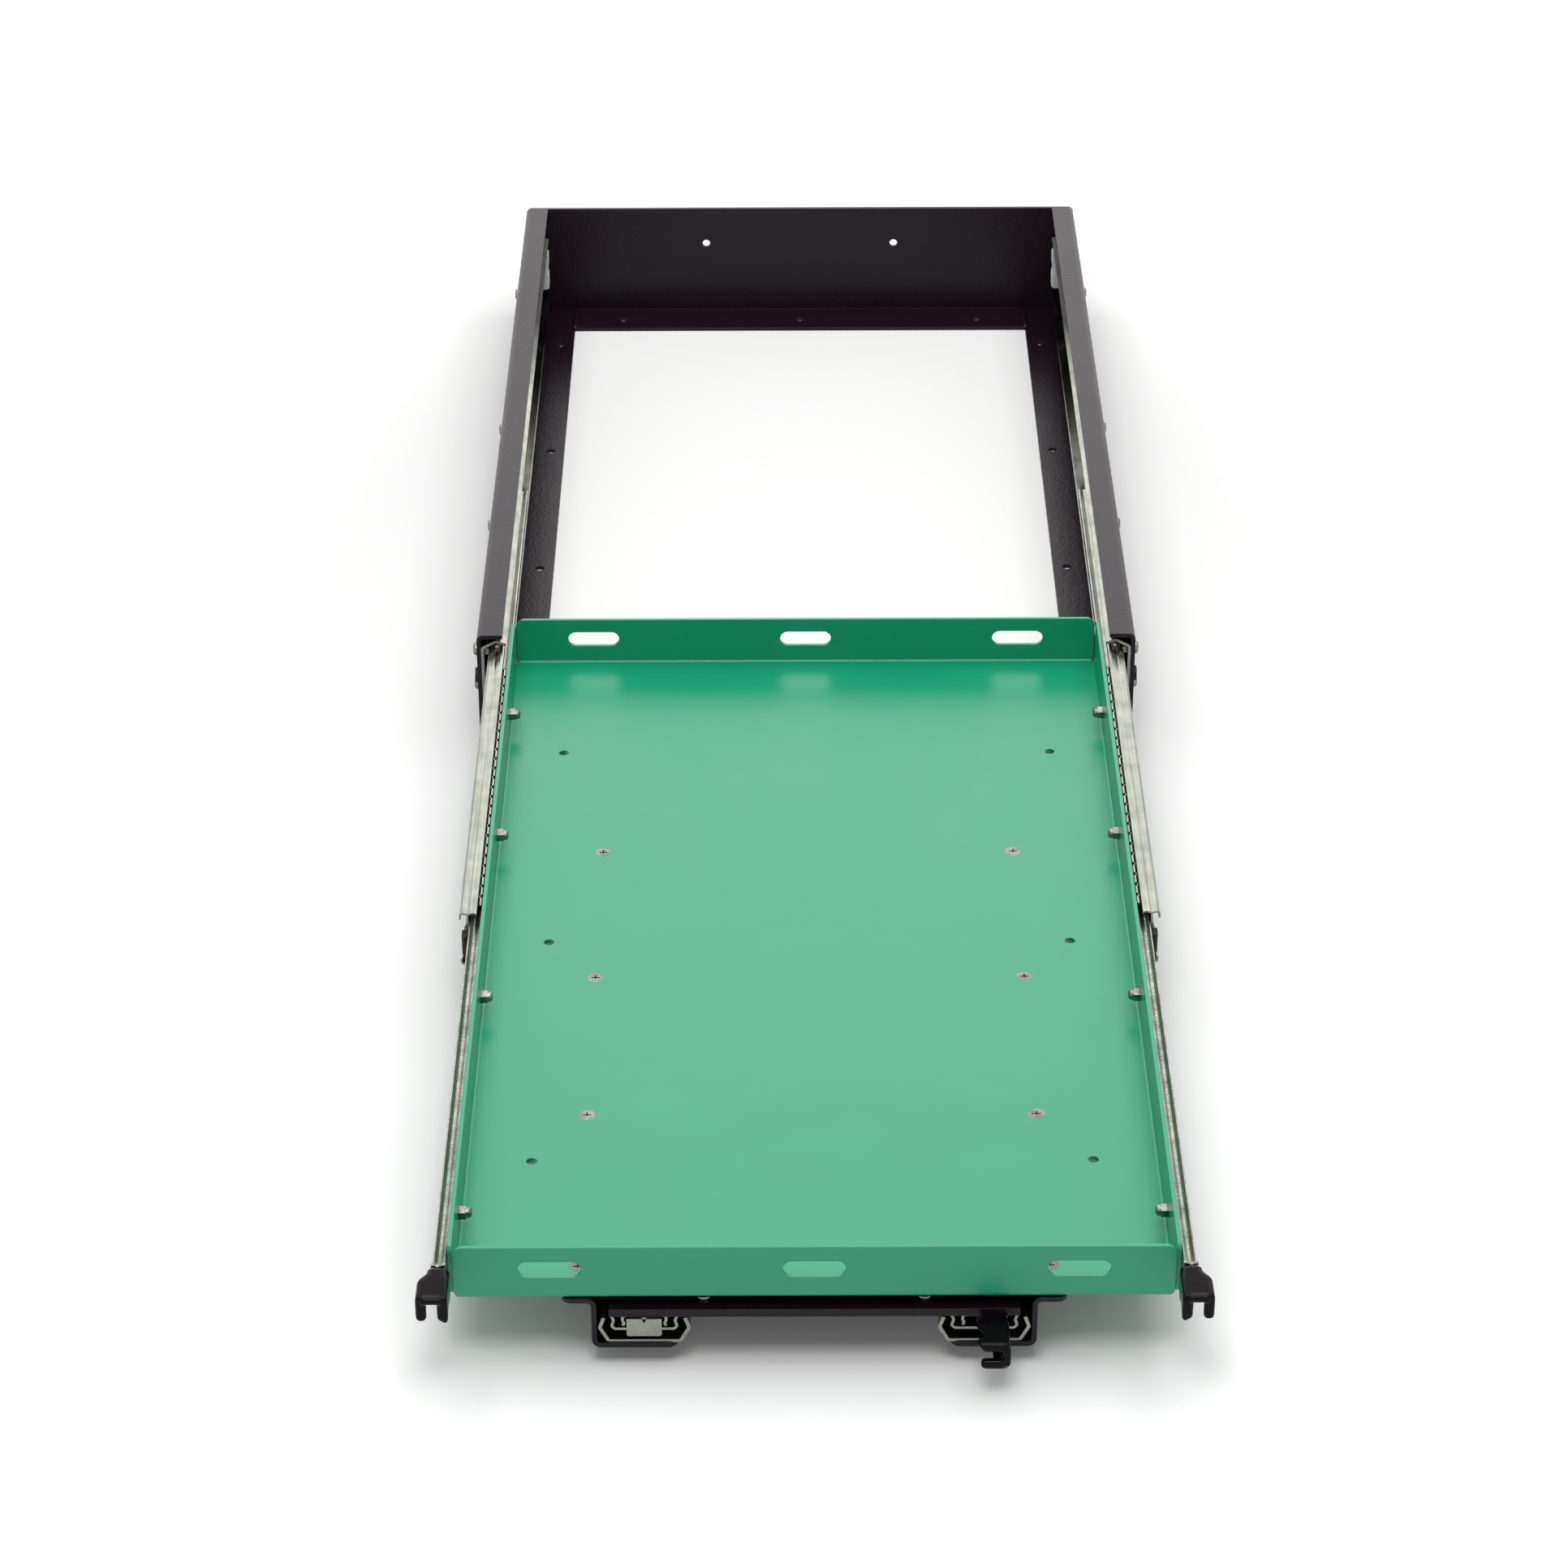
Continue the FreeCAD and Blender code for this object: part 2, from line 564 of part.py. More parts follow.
def inner_rail(y0, length):
    """The inner member: a shallow channel that faces the other two, with a track along each lip."""
    half = RAIL_WALL / 2
    side = INNER_HALF - half
    path = [
        (-side, INNER_LIP_DEPTH + INNER_FOOT_TILT),
        (-side + INNER_WAIST, INNER_LIP_DEPTH + INNER_TRACK_LOW),
        (-side, INNER_LIP_DEPTH + INNER_TRACK_HIGH),
        (-side, SLIDE_DEPTH - half),
    ]
    return folded_sheet(mirrored(path), RAIL_WALL, RAIL_BEND, y0, length)


def front_bridge(front):
    """The arched tongue ahead of a middle member's web, which holds a bumper."""
    web = MIDDLE_WEB_DEPTH + RAIL_WALL / 2
    path = [(-BRIDGE_HALF, web), (-BRIDGE_TOP_HALF, web - BRIDGE_RISE)]
    return folded_sheet(mirrored(path), RAIL_WALL, RAIL_BEND, front - BRIDGE_REACH, BRIDGE_REACH + BRIDGE_ROOT)


def bumper(front):
    """The rubber bumper under the front bridge of a middle member."""
    low = MIDDLE_WEB_DEPTH + RAIL_WALL - BRIDGE_RISE
    high = MIDDLE_WEB_DEPTH + RAIL_WALL
    block = box(-BUMPER_HALF, BUMPER_HALF, front - BRIDGE_REACH - BUMPER_REACH, front, low, high)
    tip = [e for e in block.Edges if e.BoundBox.YMax < front - BRIDGE_REACH]
    return block.makeFillet(BUMPER_ROUND, tip)


def cage(half, row, web_low, wall, lip_depth, y0, length):
    """A ball cage: a thin strip that joins two thicker rows along its edges."""
    strip = box(-half, half, y0, y0 + length, web_low, web_low + wall)
    rows = [box(s * (half - row), s * half, y0, y0 + length, web_low, lip_depth) for s in (-1, 1)]
    return strip.fuse(rows).removeSplitter()


def outer_cage(y0, length):
    """The cage that runs between the outer and middle members."""
    half = MIDDLE_HALF + CAGE_GAP + OUTER_CAGE_ROW
    low = MIDDLE_WEB_DEPTH - CAGE_GAP - CAGE_WALL
    return cage(half, OUTER_CAGE_ROW, low, CAGE_WALL, OUTER_CAGE_LIP, y0, length)


def inner_cage(y0, length):
    """The cage that runs between the middle and inner members."""
    half = MIDDLE_HALF - RAIL_WALL - MIDDLE_WAIST - CAGE_GAP
    row = half - INNER_HALF - CAGE_GAP
    gap = (INNER_LIP_DEPTH - MIDDLE_WEB_DEPTH - RAIL_WALL - INNER_CAGE_WALL) / 2
    low = MIDDLE_WEB_DEPTH + RAIL_WALL + gap
    return cage(half, row, low, INNER_CAGE_WALL, INNER_CAGE_LIP, y0, length)


def buffer_block():
    """The plastic buffer inside the rear end of a side slide."""
    half = SLIDE_HALF - BUFFER_SIDE_GAP
    near = SLIDE_DEPTH - BUFFER_NEAR_GAP
    block = box(-half, half, RAIL_RUN, OUTER_RAIL_LENGTH, OUTER_WALL, near)
    pocket = box(-half / 2, half / 3, RAIL_RUN, RAIL_RUN + BUFFER_LENGTH / 2, SLIDE_DEPTH / 2, near)
    return block.cut(pocket)


def lever(front, hand):
    """A hand lever: a blade inside the inner rail and a forked handle in front.

    front is the front end of the inner rail, and hand is the side of the flat top."""
    y_back = front - LEVER_GAP
    y_neck = y_back - LEVER_NECK
    y_tip = y_back - LEVER_REACH
    top = LEVER_TOP_HALF
    low = top - LEVER_SHEET
    outline = [
        V(0, y_back, LEVER_NEAR_DEPTH),
        V(0, y_back, LEVER_NECK_FAR_DEPTH),
        V(0, y_neck, LEVER_FAR_DEPTH),
        V(0, y_tip, LEVER_FAR_DEPTH),
        V(0, y_tip, LEVER_NEAR_DEPTH),
    ]
    face = outline_face(outline, [LEVER_ROUND, LEVER_ROUND, LEVER_ROUND * 2, 0.0, 0.0])
    plate = face.extrude(V(LEVER_SHEET, 0, 0))
    plate.translate(V(low, 0, 0))
    fork = lever_fork(top, y_tip)
    wall = box(low, top - LEVER_LEG / 2, y_tip, y_back, LEVER_NEAR_DEPTH - LEVER_SHEET, LEVER_NEAR_DEPTH)
    stem = box(-BLADE_HALF, low, y_tip + LEVER_SHEET, y_back, BLADE_DEPTH, BLADE_DEPTH + BLADE_SHEET)
    blade = box(-BLADE_HALF, BLADE_HALF, y_back, front + PIVOT_BACK + BLADE_TAIL,
                BLADE_DEPTH, BLADE_DEPTH + BLADE_SHEET)
    shape = plate.fuse([fork, wall, stem, blade])
    pivot_y = front + PIVOT_BACK
    hole = rod(PIVOT_RADIUS + PIVOT_FIT, V(0, pivot_y, BLADE_DEPTH - CUT_PAST), V(0, pivot_y, SLIDE_DEPTH))
    shape = shape.cut(hole).removeSplitter()
    brow = [e for e in shape.Edges if e.BoundBox.YMax < y_tip + EDGE_MATCH
            and e.BoundBox.XMin > top - EDGE_MATCH]
    shape = shape.makeFillet(LEVER_BROW, brow)
    if hand < 0:
        shape = shape.mirror(V(0, 0, 0), V(1, 0, 0))
    return shape


def lever_fork(top, y_tip):
    """The two round-ended legs at the front of a lever."""
    end = top - LEVER_LEG
    arch = top - LEVER_SHEET - LEVER_ARCH_ROUND / 2
    near = LEVER_NEAR_DEPTH
    far = LEVER_FAR_DEPTH
    points = [
        V(top, y_tip, far),
        V(top, y_tip, near),
        V(end, y_tip, near),
        V(end, y_tip, near - LEVER_LEG_WIDTH),
        V(arch, y_tip, near - LEVER_LEG_WIDTH),
        V(arch, y_tip, far + LEVER_LEG_WIDTH),
        V(end, y_tip, far + LEVER_LEG_WIDTH),
        V(end, y_tip, far),
    ]
    end_round = LEVER_LEG_ROUND
    radii = [0.0, 0.0, end_round, end_round, LEVER_ARCH_ROUND, LEVER_ARCH_ROUND, end_round, end_round]
    return outline_face(points, radii).extrude(V(0, LEVER_SHEET, 0))


def lever_pivot(front):
    """The rivet that a lever turns on, with a collar against the inner rail."""
    y = front + PIVOT_BACK
    blade_far = BLADE_DEPTH - PIVOT_FIT
    blade_near = BLADE_DEPTH + BLADE_SHEET + PIVOT_FIT
    shank = rod(PIVOT_RADIUS, V(0, y, blade_far), V(0, y, blade_near))
    head = rod(PIVOT_HEAD_RADIUS, V(0, y, blade_far - PIVOT_HEAD), V(0, y, blade_far))
    collar = rod(COLLAR_RADIUS, V(0, y, blade_near), V(0, y, INNER_WEB_DEPTH))
    return shank.fuse([head, collar]).removeSplitter()


def lever_spring(front):
    """The wire spring round a lever's pivot collar, with one straight leg."""
    y = front + PIVOT_BACK
    low = INNER_WEB_DEPTH - SPRING_GAP - SPRING_WIRE * 2
    high = INNER_WEB_DEPTH - SPRING_GAP
    inside = COLLAR_RADIUS + SPRING_GAP
    outside = inside + SPRING_WIRE
    ring = rod(outside, V(0, y, low), V(0, y, high)).cut(rod(inside, V(0, y, low), V(0, y, high)))
    middle = (inside + outside) / 2
    leg = box(middle - SPRING_WIRE / 2, middle + SPRING_WIRE / 2, y, y + SPRING_LEG, low, low + SPRING_WIRE)
    return ring.fuse(leg).removeSplitter()


def tray_lip(length):
    """One lip with its fold, run along Y and centred on it, its outside at X = 0."""
    run = length - 2 * (TRAY_SHEET + LIP_CORNER_GAP)
    path = [
        (-TRAY_SHEET - TRAY_BEND - LIP_INTO_FLOOR, TRAY_UNDERSIDE + TRAY_SHEET / 2),
        (-TRAY_SHEET / 2, TRAY_UNDERSIDE + TRAY_SHEET / 2),
        (-TRAY_SHEET / 2, TRAY_TOP),
    ]
    lip = folded_sheet(path, TRAY_SHEET, TRAY_BEND, -run / 2, run)
    ends = [e for e in lip.Edges if e.BoundBox.ZMin > TRAY_TOP - EDGE_MATCH
            and e.BoundBox.YLength < EDGE_MATCH]
    lip = lip.makeFillet(LIP_CORNER, ends)
    for end in (-1, 1):
        lip = lip.cut(low_corner_cutter(end, run / 2))
    return lip


def low_corner_cutter(end, reach):
    """What rounds off a lower corner of a lip that reaches this far to either end."""
    inside = -TRAY_SHEET - TRAY_BEND - LIP_INTO_FLOOR - CUT_PAST
    y = end * (reach - LIP_LOW_CORNER)
    z = TRAY_UNDERSIDE + LIP_LOW_CORNER
    block = box(inside, CUT_PAST, y, end * (reach + CUT_PAST), TRAY_UNDERSIDE - CUT_PAST, z)
    return block.cut(rod(LIP_LOW_CORNER, V(inside, y, z), V(CUT_PAST, y, z)))


def tray_blank():
    """The folded tray before its holes: the floor with four lips."""
    margin = TRAY_SHEET + TRAY_BEND
    half = TRAY_WIDTH / 2 - margin
    floor = box(-half, half, TRAY_FRONT + margin, TRAY_REAR - margin, TRAY_UNDERSIDE, TRAY_FLOOR_TOP)
    pieces = []
    for turn, length, across in (
        (0, TRAY_LENGTH, TRAY_WIDTH),
        (90, TRAY_WIDTH, TRAY_LENGTH),
        (180, TRAY_LENGTH, TRAY_WIDTH),
        (270, TRAY_WIDTH, TRAY_LENGTH),
    ):
        lip = tray_lip(length)
        lip.translate(V(across / 2, 0, 0))
        lip.rotate(V(0, 0, 0), V(0, 0, 1), turn)
        lip.translate(V(0, TRAY_MIDDLE, 0))
        pieces.append(lip)
    return floor.fuse(pieces).removeSplitter()


def bracket_screw_rows():
    """The Y places of the screws that hold the brackets under the tray."""
    return [BRACKET_MIDDLE_Y + i * BRACKET_SCREW_STEP for i in (-2, -1, 0, 1)]


def tray():
    """The tray with its strap slots, floor holes and bolt holes."""
    shape = tray_blank()
    z = TRAY_TOP - SLOT_FROM_TOP
    for x in (-SLOT_PITCH, 0, SLOT_PITCH):
        for y in (TRAY_FRONT, TRAY_REAR - TRAY_SHEET):
            shape = shape.cut(slot_cutter(x, z, y - CUT_PAST, y + TRAY_SHEET + CUT_PAST))
    for x in (-TIE_HOLE_HALF_PITCH, TIE_HOLE_HALF_PITCH):
        for i in (-1, 0, 1):
            y = TRAY_MIDDLE + i * TIE_HOLE_STEP
            low = V(x, y, TRAY_UNDERSIDE - CUT_PAST)
            shape = shape.cut(rod(TIE_HOLE / 2, low, V(x, y, TRAY_FLOOR_TOP + CUT_PAST)))
    for x in (-BRACKET_SCREW_HALF_PITCH, BRACKET_SCREW_HALF_PITCH):
        for y in bracket_screw_rows():
            shape = shape.cut(sunk_hole(V(x, y, TRAY_FLOOR_TOP), TRAY_SHEET + CUT_PAST))
    for side in (-1, 1):
        for y in TRAY_BOLT_ROWS:
            start = V(side * (TRAY_WIDTH / 2 - TRAY_SHEET - CUT_PAST), y, SLIDE_Z)
            end = V(side * (TRAY_WIDTH / 2 + CUT_PAST), y, SLIDE_Z)
            shape = shape.cut(rod(BOLT_RADIUS + BOLT_CLEARANCE, start, end))
    return shape


def tray_bracket(side):
    """A folded Z bracket under the tray, with a foot for a table slide."""
    web = BRACKET_WEB_HALF - BRACKET_SHEET / 2
    top = TRAY_UNDERSIDE - BRACKET_SHEET / 2
    low = BRACKET_BOTTOM + BRACKET_SHEET / 2
    path = [
        (side * (BRACKET_WEB_HALF + BRACKET_TOP_FLANGE), top),
        (side * web, top),
        (side * web, low),
        (side * (BRACKET_WEB_HALF - BRACKET_FOOT_FLANGE), low),
    ]
    shape = folded_sheet(path, BRACKET_SHEET, BRACKET_BEND, TRAY_FRONT, BRACKET_LENGTH)
    corners = [e for e in shape.Edges if abs(e.BoundBox.ZLength - BRACKET_SHEET) < EDGE_MATCH
               and e.BoundBox.XLength < EDGE_MATCH and e.BoundBox.YLength < EDGE_MATCH]
    shape = shape.makeFillet(BRACKET_CORNER, corners)
    places = [(side * BRACKET_SCREW_HALF_PITCH, y, top) for y in bracket_screw_rows()]
    places += [(side * TABLE_SLIDE_X, y, low) for y in table_bolt_rows()]
    for x, y, z in places:
        start = V(x, y, z - BRACKET_SHEET)
        shape = shape.cut(rod(BOLT_RADIUS + BOLT_CLEARANCE, start, V(x, y, z + BRACKET_SHEET)))
    return shape


def table_bolt_rows():
    """The Y places of the bolts along a table slide."""
    first = TABLE_RAIL_FRONT + TABLE_BOLT_FROM_FRONT
    last = TABLE_RAIL_FRONT + TABLE_RAIL_LENGTH - TABLE_BOLT_FROM_REAR
    step = (last - first) / (TABLE_BOLT_COUNT - 1)
    return [first + i * step for i in range(TABLE_BOLT_COUNT)]


def table_panel():
    """The table: a thin sheet with a short lip turned down on all sides."""
    half = TABLE_WIDTH / 2
    y1 = TABLE_FRONT + TABLE_LENGTH
    shape = box(-half, half, TABLE_FRONT, y1, TABLE_TOP - TABLE_LIP, TABLE_TOP)
    inside = box(-half + TABLE_SHEET, half - TABLE_SHEET, TABLE_FRONT + TABLE_SHEET, y1 - TABLE_SHEET,
                 TABLE_TOP - TABLE_LIP, TABLE_TOP - TABLE_SHEET)
    shape = shape.cut(inside)
    for x in (-TABLE_SLIDE_X, TABLE_SLIDE_X):
        for y in table_bolt_rows():
            shape = shape.cut(sunk_hole(V(x, y, TABLE_TOP), TABLE_LIP))
    for x in (-FRONT_BOLT_HALF_PITCH, FRONT_BOLT_HALF_PITCH):
        start = V(x, TABLE_FRONT + FRONT_BOLT_INSET, TABLE_TOP - TABLE_LIP)
        shape = shape.cut(rod(BOLT_RADIUS + BOLT_CLEARANCE, start, start + V(0, 0, TABLE_LIP + CUT_PAST)))
    return shape


def drill_rail(shape, rows, halves, depth):
    """Cut bolt holes through a rail's web at a depth, in rows along it."""
    for y in rows:
        for half in halves:
            start = V(half, y, depth - CUT_PAST)
            end = V(half, y, depth + OUTER_WALL + CUT_PAST)
            shape = shape.cut(rod(BOLT_RADIUS + BOLT_CLEARANCE, start, end))
    return shape


def end_tab():
    """The turned-down tab at the front of the inner rail that has no lever."""
    front = TABLE_RAIL_FRONT - END_TAB_REACH - RAIL_WALL
    half = END_TAB_WIDTH / 2
    tab = box(-half, half, front, front + RAIL_WALL, SLIDE_DEPTH - END_TAB_DROP, SLIDE_DEPTH)
    tongue = box(-half, half, front, TABLE_RAIL_FRONT, INNER_WEB_DEPTH, SLIDE_DEPTH)
    notch_points = [
        V(-END_TAB_NOTCH, front, SLIDE_DEPTH),
        V(END_TAB_NOTCH, front, SLIDE_DEPTH),
        V(0, front, SLIDE_DEPTH - 2 * END_TAB_NOTCH),
        V(-END_TAB_NOTCH, front, SLIDE_DEPTH),
    ]
    notch = Part.Face(Part.makePolygon(notch_points)).extrude(V(0, RAIL_WALL, 0))
    low_corners = [e for e in tab.Edges if e.BoundBox.ZMax < SLIDE_DEPTH - END_TAB_DROP + EDGE_MATCH
                   and e.BoundBox.XLength < EDGE_MATCH]
    return tab.makeFillet(RAIL_WALL, low_corners).fuse(tongue).cut(notch)


def write_base():
    """The base frame and what is fixed to it."""
    for name, side in SIDES:
        save("base_%s_channel" % name, base_channel(side))
        rail = outer_rail(0, OUTER_RAIL_LENGTH)
        rail = drill_rail(rail, RAIL_BOLT_ROWS, (-RAIL_BOLT_HALF, RAIL_BOLT_HALF), 0)
        save("side_outer_rail_%s" % name, place_side(rail, side))
        save("rear_buffer_%s" % name, place_side(buffer_block(), side))
    save("base_rear_panel", base_rear_panel())
    save("base_front_strap", base_front_strap())
    save("base_weld_beads", weld_beads())
    bolts = []
    nuts = []
    shank = BASE_SHEET + OUTER_WALL + THIN_NUT_HEIGHT
    nut = hex_nut(THIN_NUT_HEIGHT, BOLT_RADIUS + BOLT_FIT)
    for name, side in SIDES:
        for y, z in rail_bolt_points():
            bolts.append(set_at(button_bolt(shank), V(side * BASE_WIDTH / 2, y, z), V(side, 0, 0)))
            nuts.append(set_at(nut, V(side * (WEB_INSIDE - OUTER_WALL), y, z), V(-side, 0, 0)))
    save("rail_to_base_bolts", Part.makeCompound(bolts))
    save("rail_to_base_nuts", Part.makeCompound(nuts))


def write_side_slides():
    """The moving members and cages of the two side slides."""
    for name, side in SIDES:
        save("side_outer_cage_%s" % name, place_side(outer_cage(OUTER_CAGE_FRONT, SIDE_CAGE_LENGTH), side))
        middle = middle_rail(MIDDLE_FRONT, MIDDLE_RAIL_LENGTH)
        middle = middle.fuse(front_bridge(MIDDLE_FRONT)).removeSplitter()
        save("side_middle_rail_%s" % name, place_side(middle, side))
        save("side_bumper_%s" % name, place_side(bumper(MIDDLE_FRONT), side))
        save("side_inner_cage_%s" % name, place_side(inner_cage(INNER_CAGE_FRONT, SIDE_CAGE_LENGTH), side))
        rail = inner_rail(INNER_FRONT, INNER_RAIL_LENGTH)
        rail = drill_rail(rail, TRAY_BOLT_ROWS, (0,), INNER_WEB_DEPTH)
        save("side_inner_rail_%s" % name, place_side(rail, side))
        save("side_lever_%s" % name, place_side(lever(INNER_FRONT, side), side))
        save("side_lever_pivot_%s" % name, place_side(lever_pivot(INNER_FRONT), side))
    springs = [place_side(lever_spring(INNER_FRONT), side) for name, side in SIDES]
    save("side_lever_springs", Part.makeCompound(springs))


def write_tray():
    """The tray, its brackets and its fasteners."""
    save("tray", tray())
    for name, side in SIDES:
        save("table_bracket_%s" % name, tray_bracket(side))
    bolts = []
    nuts = []
    cavity = WEB_INSIDE - INNER_WEB_DEPTH
    lip_inside = TRAY_WIDTH / 2 - TRAY_SHEET
    shank = cavity - lip_inside + CAP_NUT_BODY - BOLT_CLEARANCE
    for name, side in SIDES:
        for y in TRAY_BOLT_ROWS:
            bolts.append(set_at(pan_bolt(shank), V(side * cavity, y, SLIDE_Z), V(side, 0, 0)))
            nuts.append(set_at(cap_nut(), V(side * lip_inside, y, SLIDE_Z), V(-side, 0, 0)))
    save("tray_side_bolts", Part.makeCompound(bolts))
    save("tray_cap_nuts", Part.makeCompound(nuts))
    screws = []
    lock_nuts = []
    flange_low = TRAY_UNDERSIDE - BRACKET_SHEET
    depth = TRAY_FLOOR_TOP - flange_low + NUT_HEIGHT + BOLT_TAIL
    nut = hex_nut(NUT_HEIGHT, BOLT_RADIUS + BOLT_FIT)
    for x in (-BRACKET_SCREW_HALF_PITCH, BRACKET_SCREW_HALF_PITCH):
        for y in bracket_screw_rows():
            screws.append(set_at(sunk_bolt(depth), V(x, y, TRAY_FLOOR_TOP), V(0, 0, 1)))
            lock_nuts.append(set_at(nut, V(x, y, flange_low), V(0, 0, -1)))
    save("bracket_screws", Part.makeCompound(screws))
    save("bracket_nuts", Part.makeCompound(lock_nuts))


def write_table_slides():
    """The two slides that lie flat on the bracket feet, and their bolts."""
    rows = table_bolt_rows()
    cage_front = TABLE_RAIL_FRONT + (TABLE_RAIL_LENGTH - TABLE_CAGE_LENGTH) / 2
    bolts = []
    nuts = []
    shank = OUTER_WALL + BRACKET_SHEET + THIN_NUT_HEIGHT
    nut = hex_nut(THIN_NUT_HEIGHT, BOLT_RADIUS + BOLT_FIT)
    for name, side in SIDES:
        rail = drill_rail(outer_rail(TABLE_RAIL_FRONT, TABLE_RAIL_LENGTH), rows, (0,), 0)
        save("table_outer_rail_%s" % name, place_table(rail, side))
        save("table_outer_cage_%s" % name, place_table(outer_cage(cage_front, TABLE_CAGE_LENGTH), side))
        middle = middle_rail(TABLE_RAIL_FRONT, TABLE_RAIL_LENGTH)
        save("table_middle_rail_%s" % name, place_table(middle, side))
        save("table_inner_cage_%s" % name, place_table(inner_cage(cage_front, TABLE_CAGE_LENGTH), side))
        inner = drill_rail(inner_rail(TABLE_RAIL_FRONT, TABLE_RAIL_LENGTH), rows, (0,), INNER_WEB_DEPTH)
        if side < 0:
            inner = inner.fuse(end_tab()).removeSplitter()
        save("table_inner_rail_%s" % name, place_table(inner, side))
        for y in rows:
            x = side * TABLE_SLIDE_X
            bolts.append(set_at(pan_bolt(shank), V(x, y, TABLE_SLIDE_Z + OUTER_WALL), V(0, 0, 1)))
            nuts.append(set_at(nut, V(x, y, BRACKET_BOTTOM), V(0, 0, -1)))
    save("table_rail_bolts", Part.makeCompound(bolts))
    save("table_rail_nuts", Part.makeCompound(nuts))


def write_table():
    """The table panel, its lever and its fasteners."""
    save("table_panel", table_panel())
    save("table_lever", place_table(lever(TABLE_RAIL_FRONT, 1), 1))
    save("table_lever_pivot", place_table(lever_pivot(TABLE_RAIL_FRONT), 1))
    save("table_lever_spring", place_table(lever_spring(TABLE_RAIL_FRONT), 1))
    screws = []
    spacers = []
    nuts = []
    web_top = TABLE_SLIDE_Z + SLIDE_DEPTH
    web_low = web_top - RAIL_WALL
    shank = TABLE_TOP - web_low + THIN_NUT_HEIGHT
    ring = Part.makeCylinder(SPACER_RADIUS, TABLE_SPACER).cut(
        Part.makeCylinder(BOLT_RADIUS + BOLT_CLEARANCE, TABLE_SPACER))
    nut = hex_nut(THIN_NUT_HEIGHT, BOLT_RADIUS + BOLT_FIT)
    for x in (-TABLE_SLIDE_X, TABLE_SLIDE_X):
        for y in table_bolt_rows():
            screws.append(set_at(sunk_bolt(shank), V(x, y, TABLE_TOP), V(0, 0, 1)))
            spacers.append(set_at(ring, V(x, y, web_top), V(0, 0, 1)))
            nuts.append(set_at(nut, V(x, y, web_low), V(0, 0, -1)))
    save("table_panel_screws", Part.makeCompound(screws))
    save("table_panel_spacers", Part.makeCompound(spacers))
    save("table_panel_nuts", Part.makeCompound(nuts))
    front_bolts = []
    front_nuts = []
    tall_nut = hex_nut(NUT_HEIGHT, BOLT_RADIUS + BOLT_FIT)
    reach = TABLE_SHEET + NUT_HEIGHT + BOLT_TAIL * 2
    for x in (-FRONT_BOLT_HALF_PITCH, FRONT_BOLT_HALF_PITCH):
        y = TABLE_FRONT + FRONT_BOLT_INSET
        front_bolts.append(set_at(button_bolt(reach), V(x, y, TABLE_TOP), V(0, 0, 1)))
        front_nuts.append(set_at(tall_nut, V(x, y, TABLE_TOP - TABLE_SHEET), V(0, 0, -1)))
    save("table_front_bolts", Part.makeCompound(front_bolts))
    save("table_front_nuts", Part.makeCompound(front_nuts))


def main():
    """Write every piece into the parts folder."""
    os.makedirs("parts", exist_ok=True)
    write_base()
    write_side_slides()
    write_tray()
    write_table_slides()
    write_table()


main()
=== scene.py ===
"""Looks of a fridge slide with its tray pulled out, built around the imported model.

Metres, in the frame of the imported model: +Z up, the floor at Z = 0, and the tray
pulled out towards -Y."""

import logging
import math
from dataclasses import dataclass
from enum import Enum

import bmesh
import bpy
from mathutils import Matrix, Vector


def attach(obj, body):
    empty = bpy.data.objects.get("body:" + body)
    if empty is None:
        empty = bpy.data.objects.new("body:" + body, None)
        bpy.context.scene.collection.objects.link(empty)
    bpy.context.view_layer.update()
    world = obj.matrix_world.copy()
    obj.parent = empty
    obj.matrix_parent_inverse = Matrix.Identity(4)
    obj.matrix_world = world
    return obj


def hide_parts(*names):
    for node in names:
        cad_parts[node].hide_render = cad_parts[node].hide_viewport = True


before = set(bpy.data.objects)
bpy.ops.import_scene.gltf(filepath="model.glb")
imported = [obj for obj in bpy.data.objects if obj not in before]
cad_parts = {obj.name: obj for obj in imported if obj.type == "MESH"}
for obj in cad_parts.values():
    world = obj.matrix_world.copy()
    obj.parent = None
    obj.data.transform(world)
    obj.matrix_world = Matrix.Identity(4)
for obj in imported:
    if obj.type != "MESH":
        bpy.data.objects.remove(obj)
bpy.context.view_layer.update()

LOG = logging.getLogger("fridge_slide")

# Millimetres of the part that the pieces below line up with
WEB_INSIDE = 227.0
SLIDE_Z = 64.5
TABLE_SLIDE_X = 96.9
TABLE_SLIDE_Z = 16.5
SIDE_RAIL_FRONT = -704.0
TABLE_RAIL_FRONT = -696.0
MIDDLE_FRONT = -344.0
MIDDLE_REAR = 318.0
RAIL_REAR = 684.0
BUFFER_REAR = 697.0
BASE_SHEET = 3.0
SIDES = (("left", -1), ("right", 1))


def mm(value: float) -> float:
    """Turn millimetres into metres."""
    return value * 0.001


def point(x: float, y: float, z: float) -> Vector:
    """A point given in millimetres, in metres."""
    return Vector((mm(x), mm(y), mm(z)))


def linear(code: str) -> tuple[float, float, float, float]:
    """Turn an sRGB hex colour into a linear colour.

    Args:
        code: Six hex digits.

    Returns:
        Red, green, blue and an alpha of 1.
    """
    parts = []
    for i in (0, 2, 4):
        value = int(code[i:i + 2], 16) / 255
        parts.append(value / 12.92 if value <= 0.04045 else ((value + 0.055) / 1.055) ** 2.4)
    return (parts[0], parts[1], parts[2], 1.0)


def grain(size_mm: float) -> float:
    """The scale of a noise on Object coordinates whose blotches are this many millimetres wide."""
    return 1000.0 / size_mm


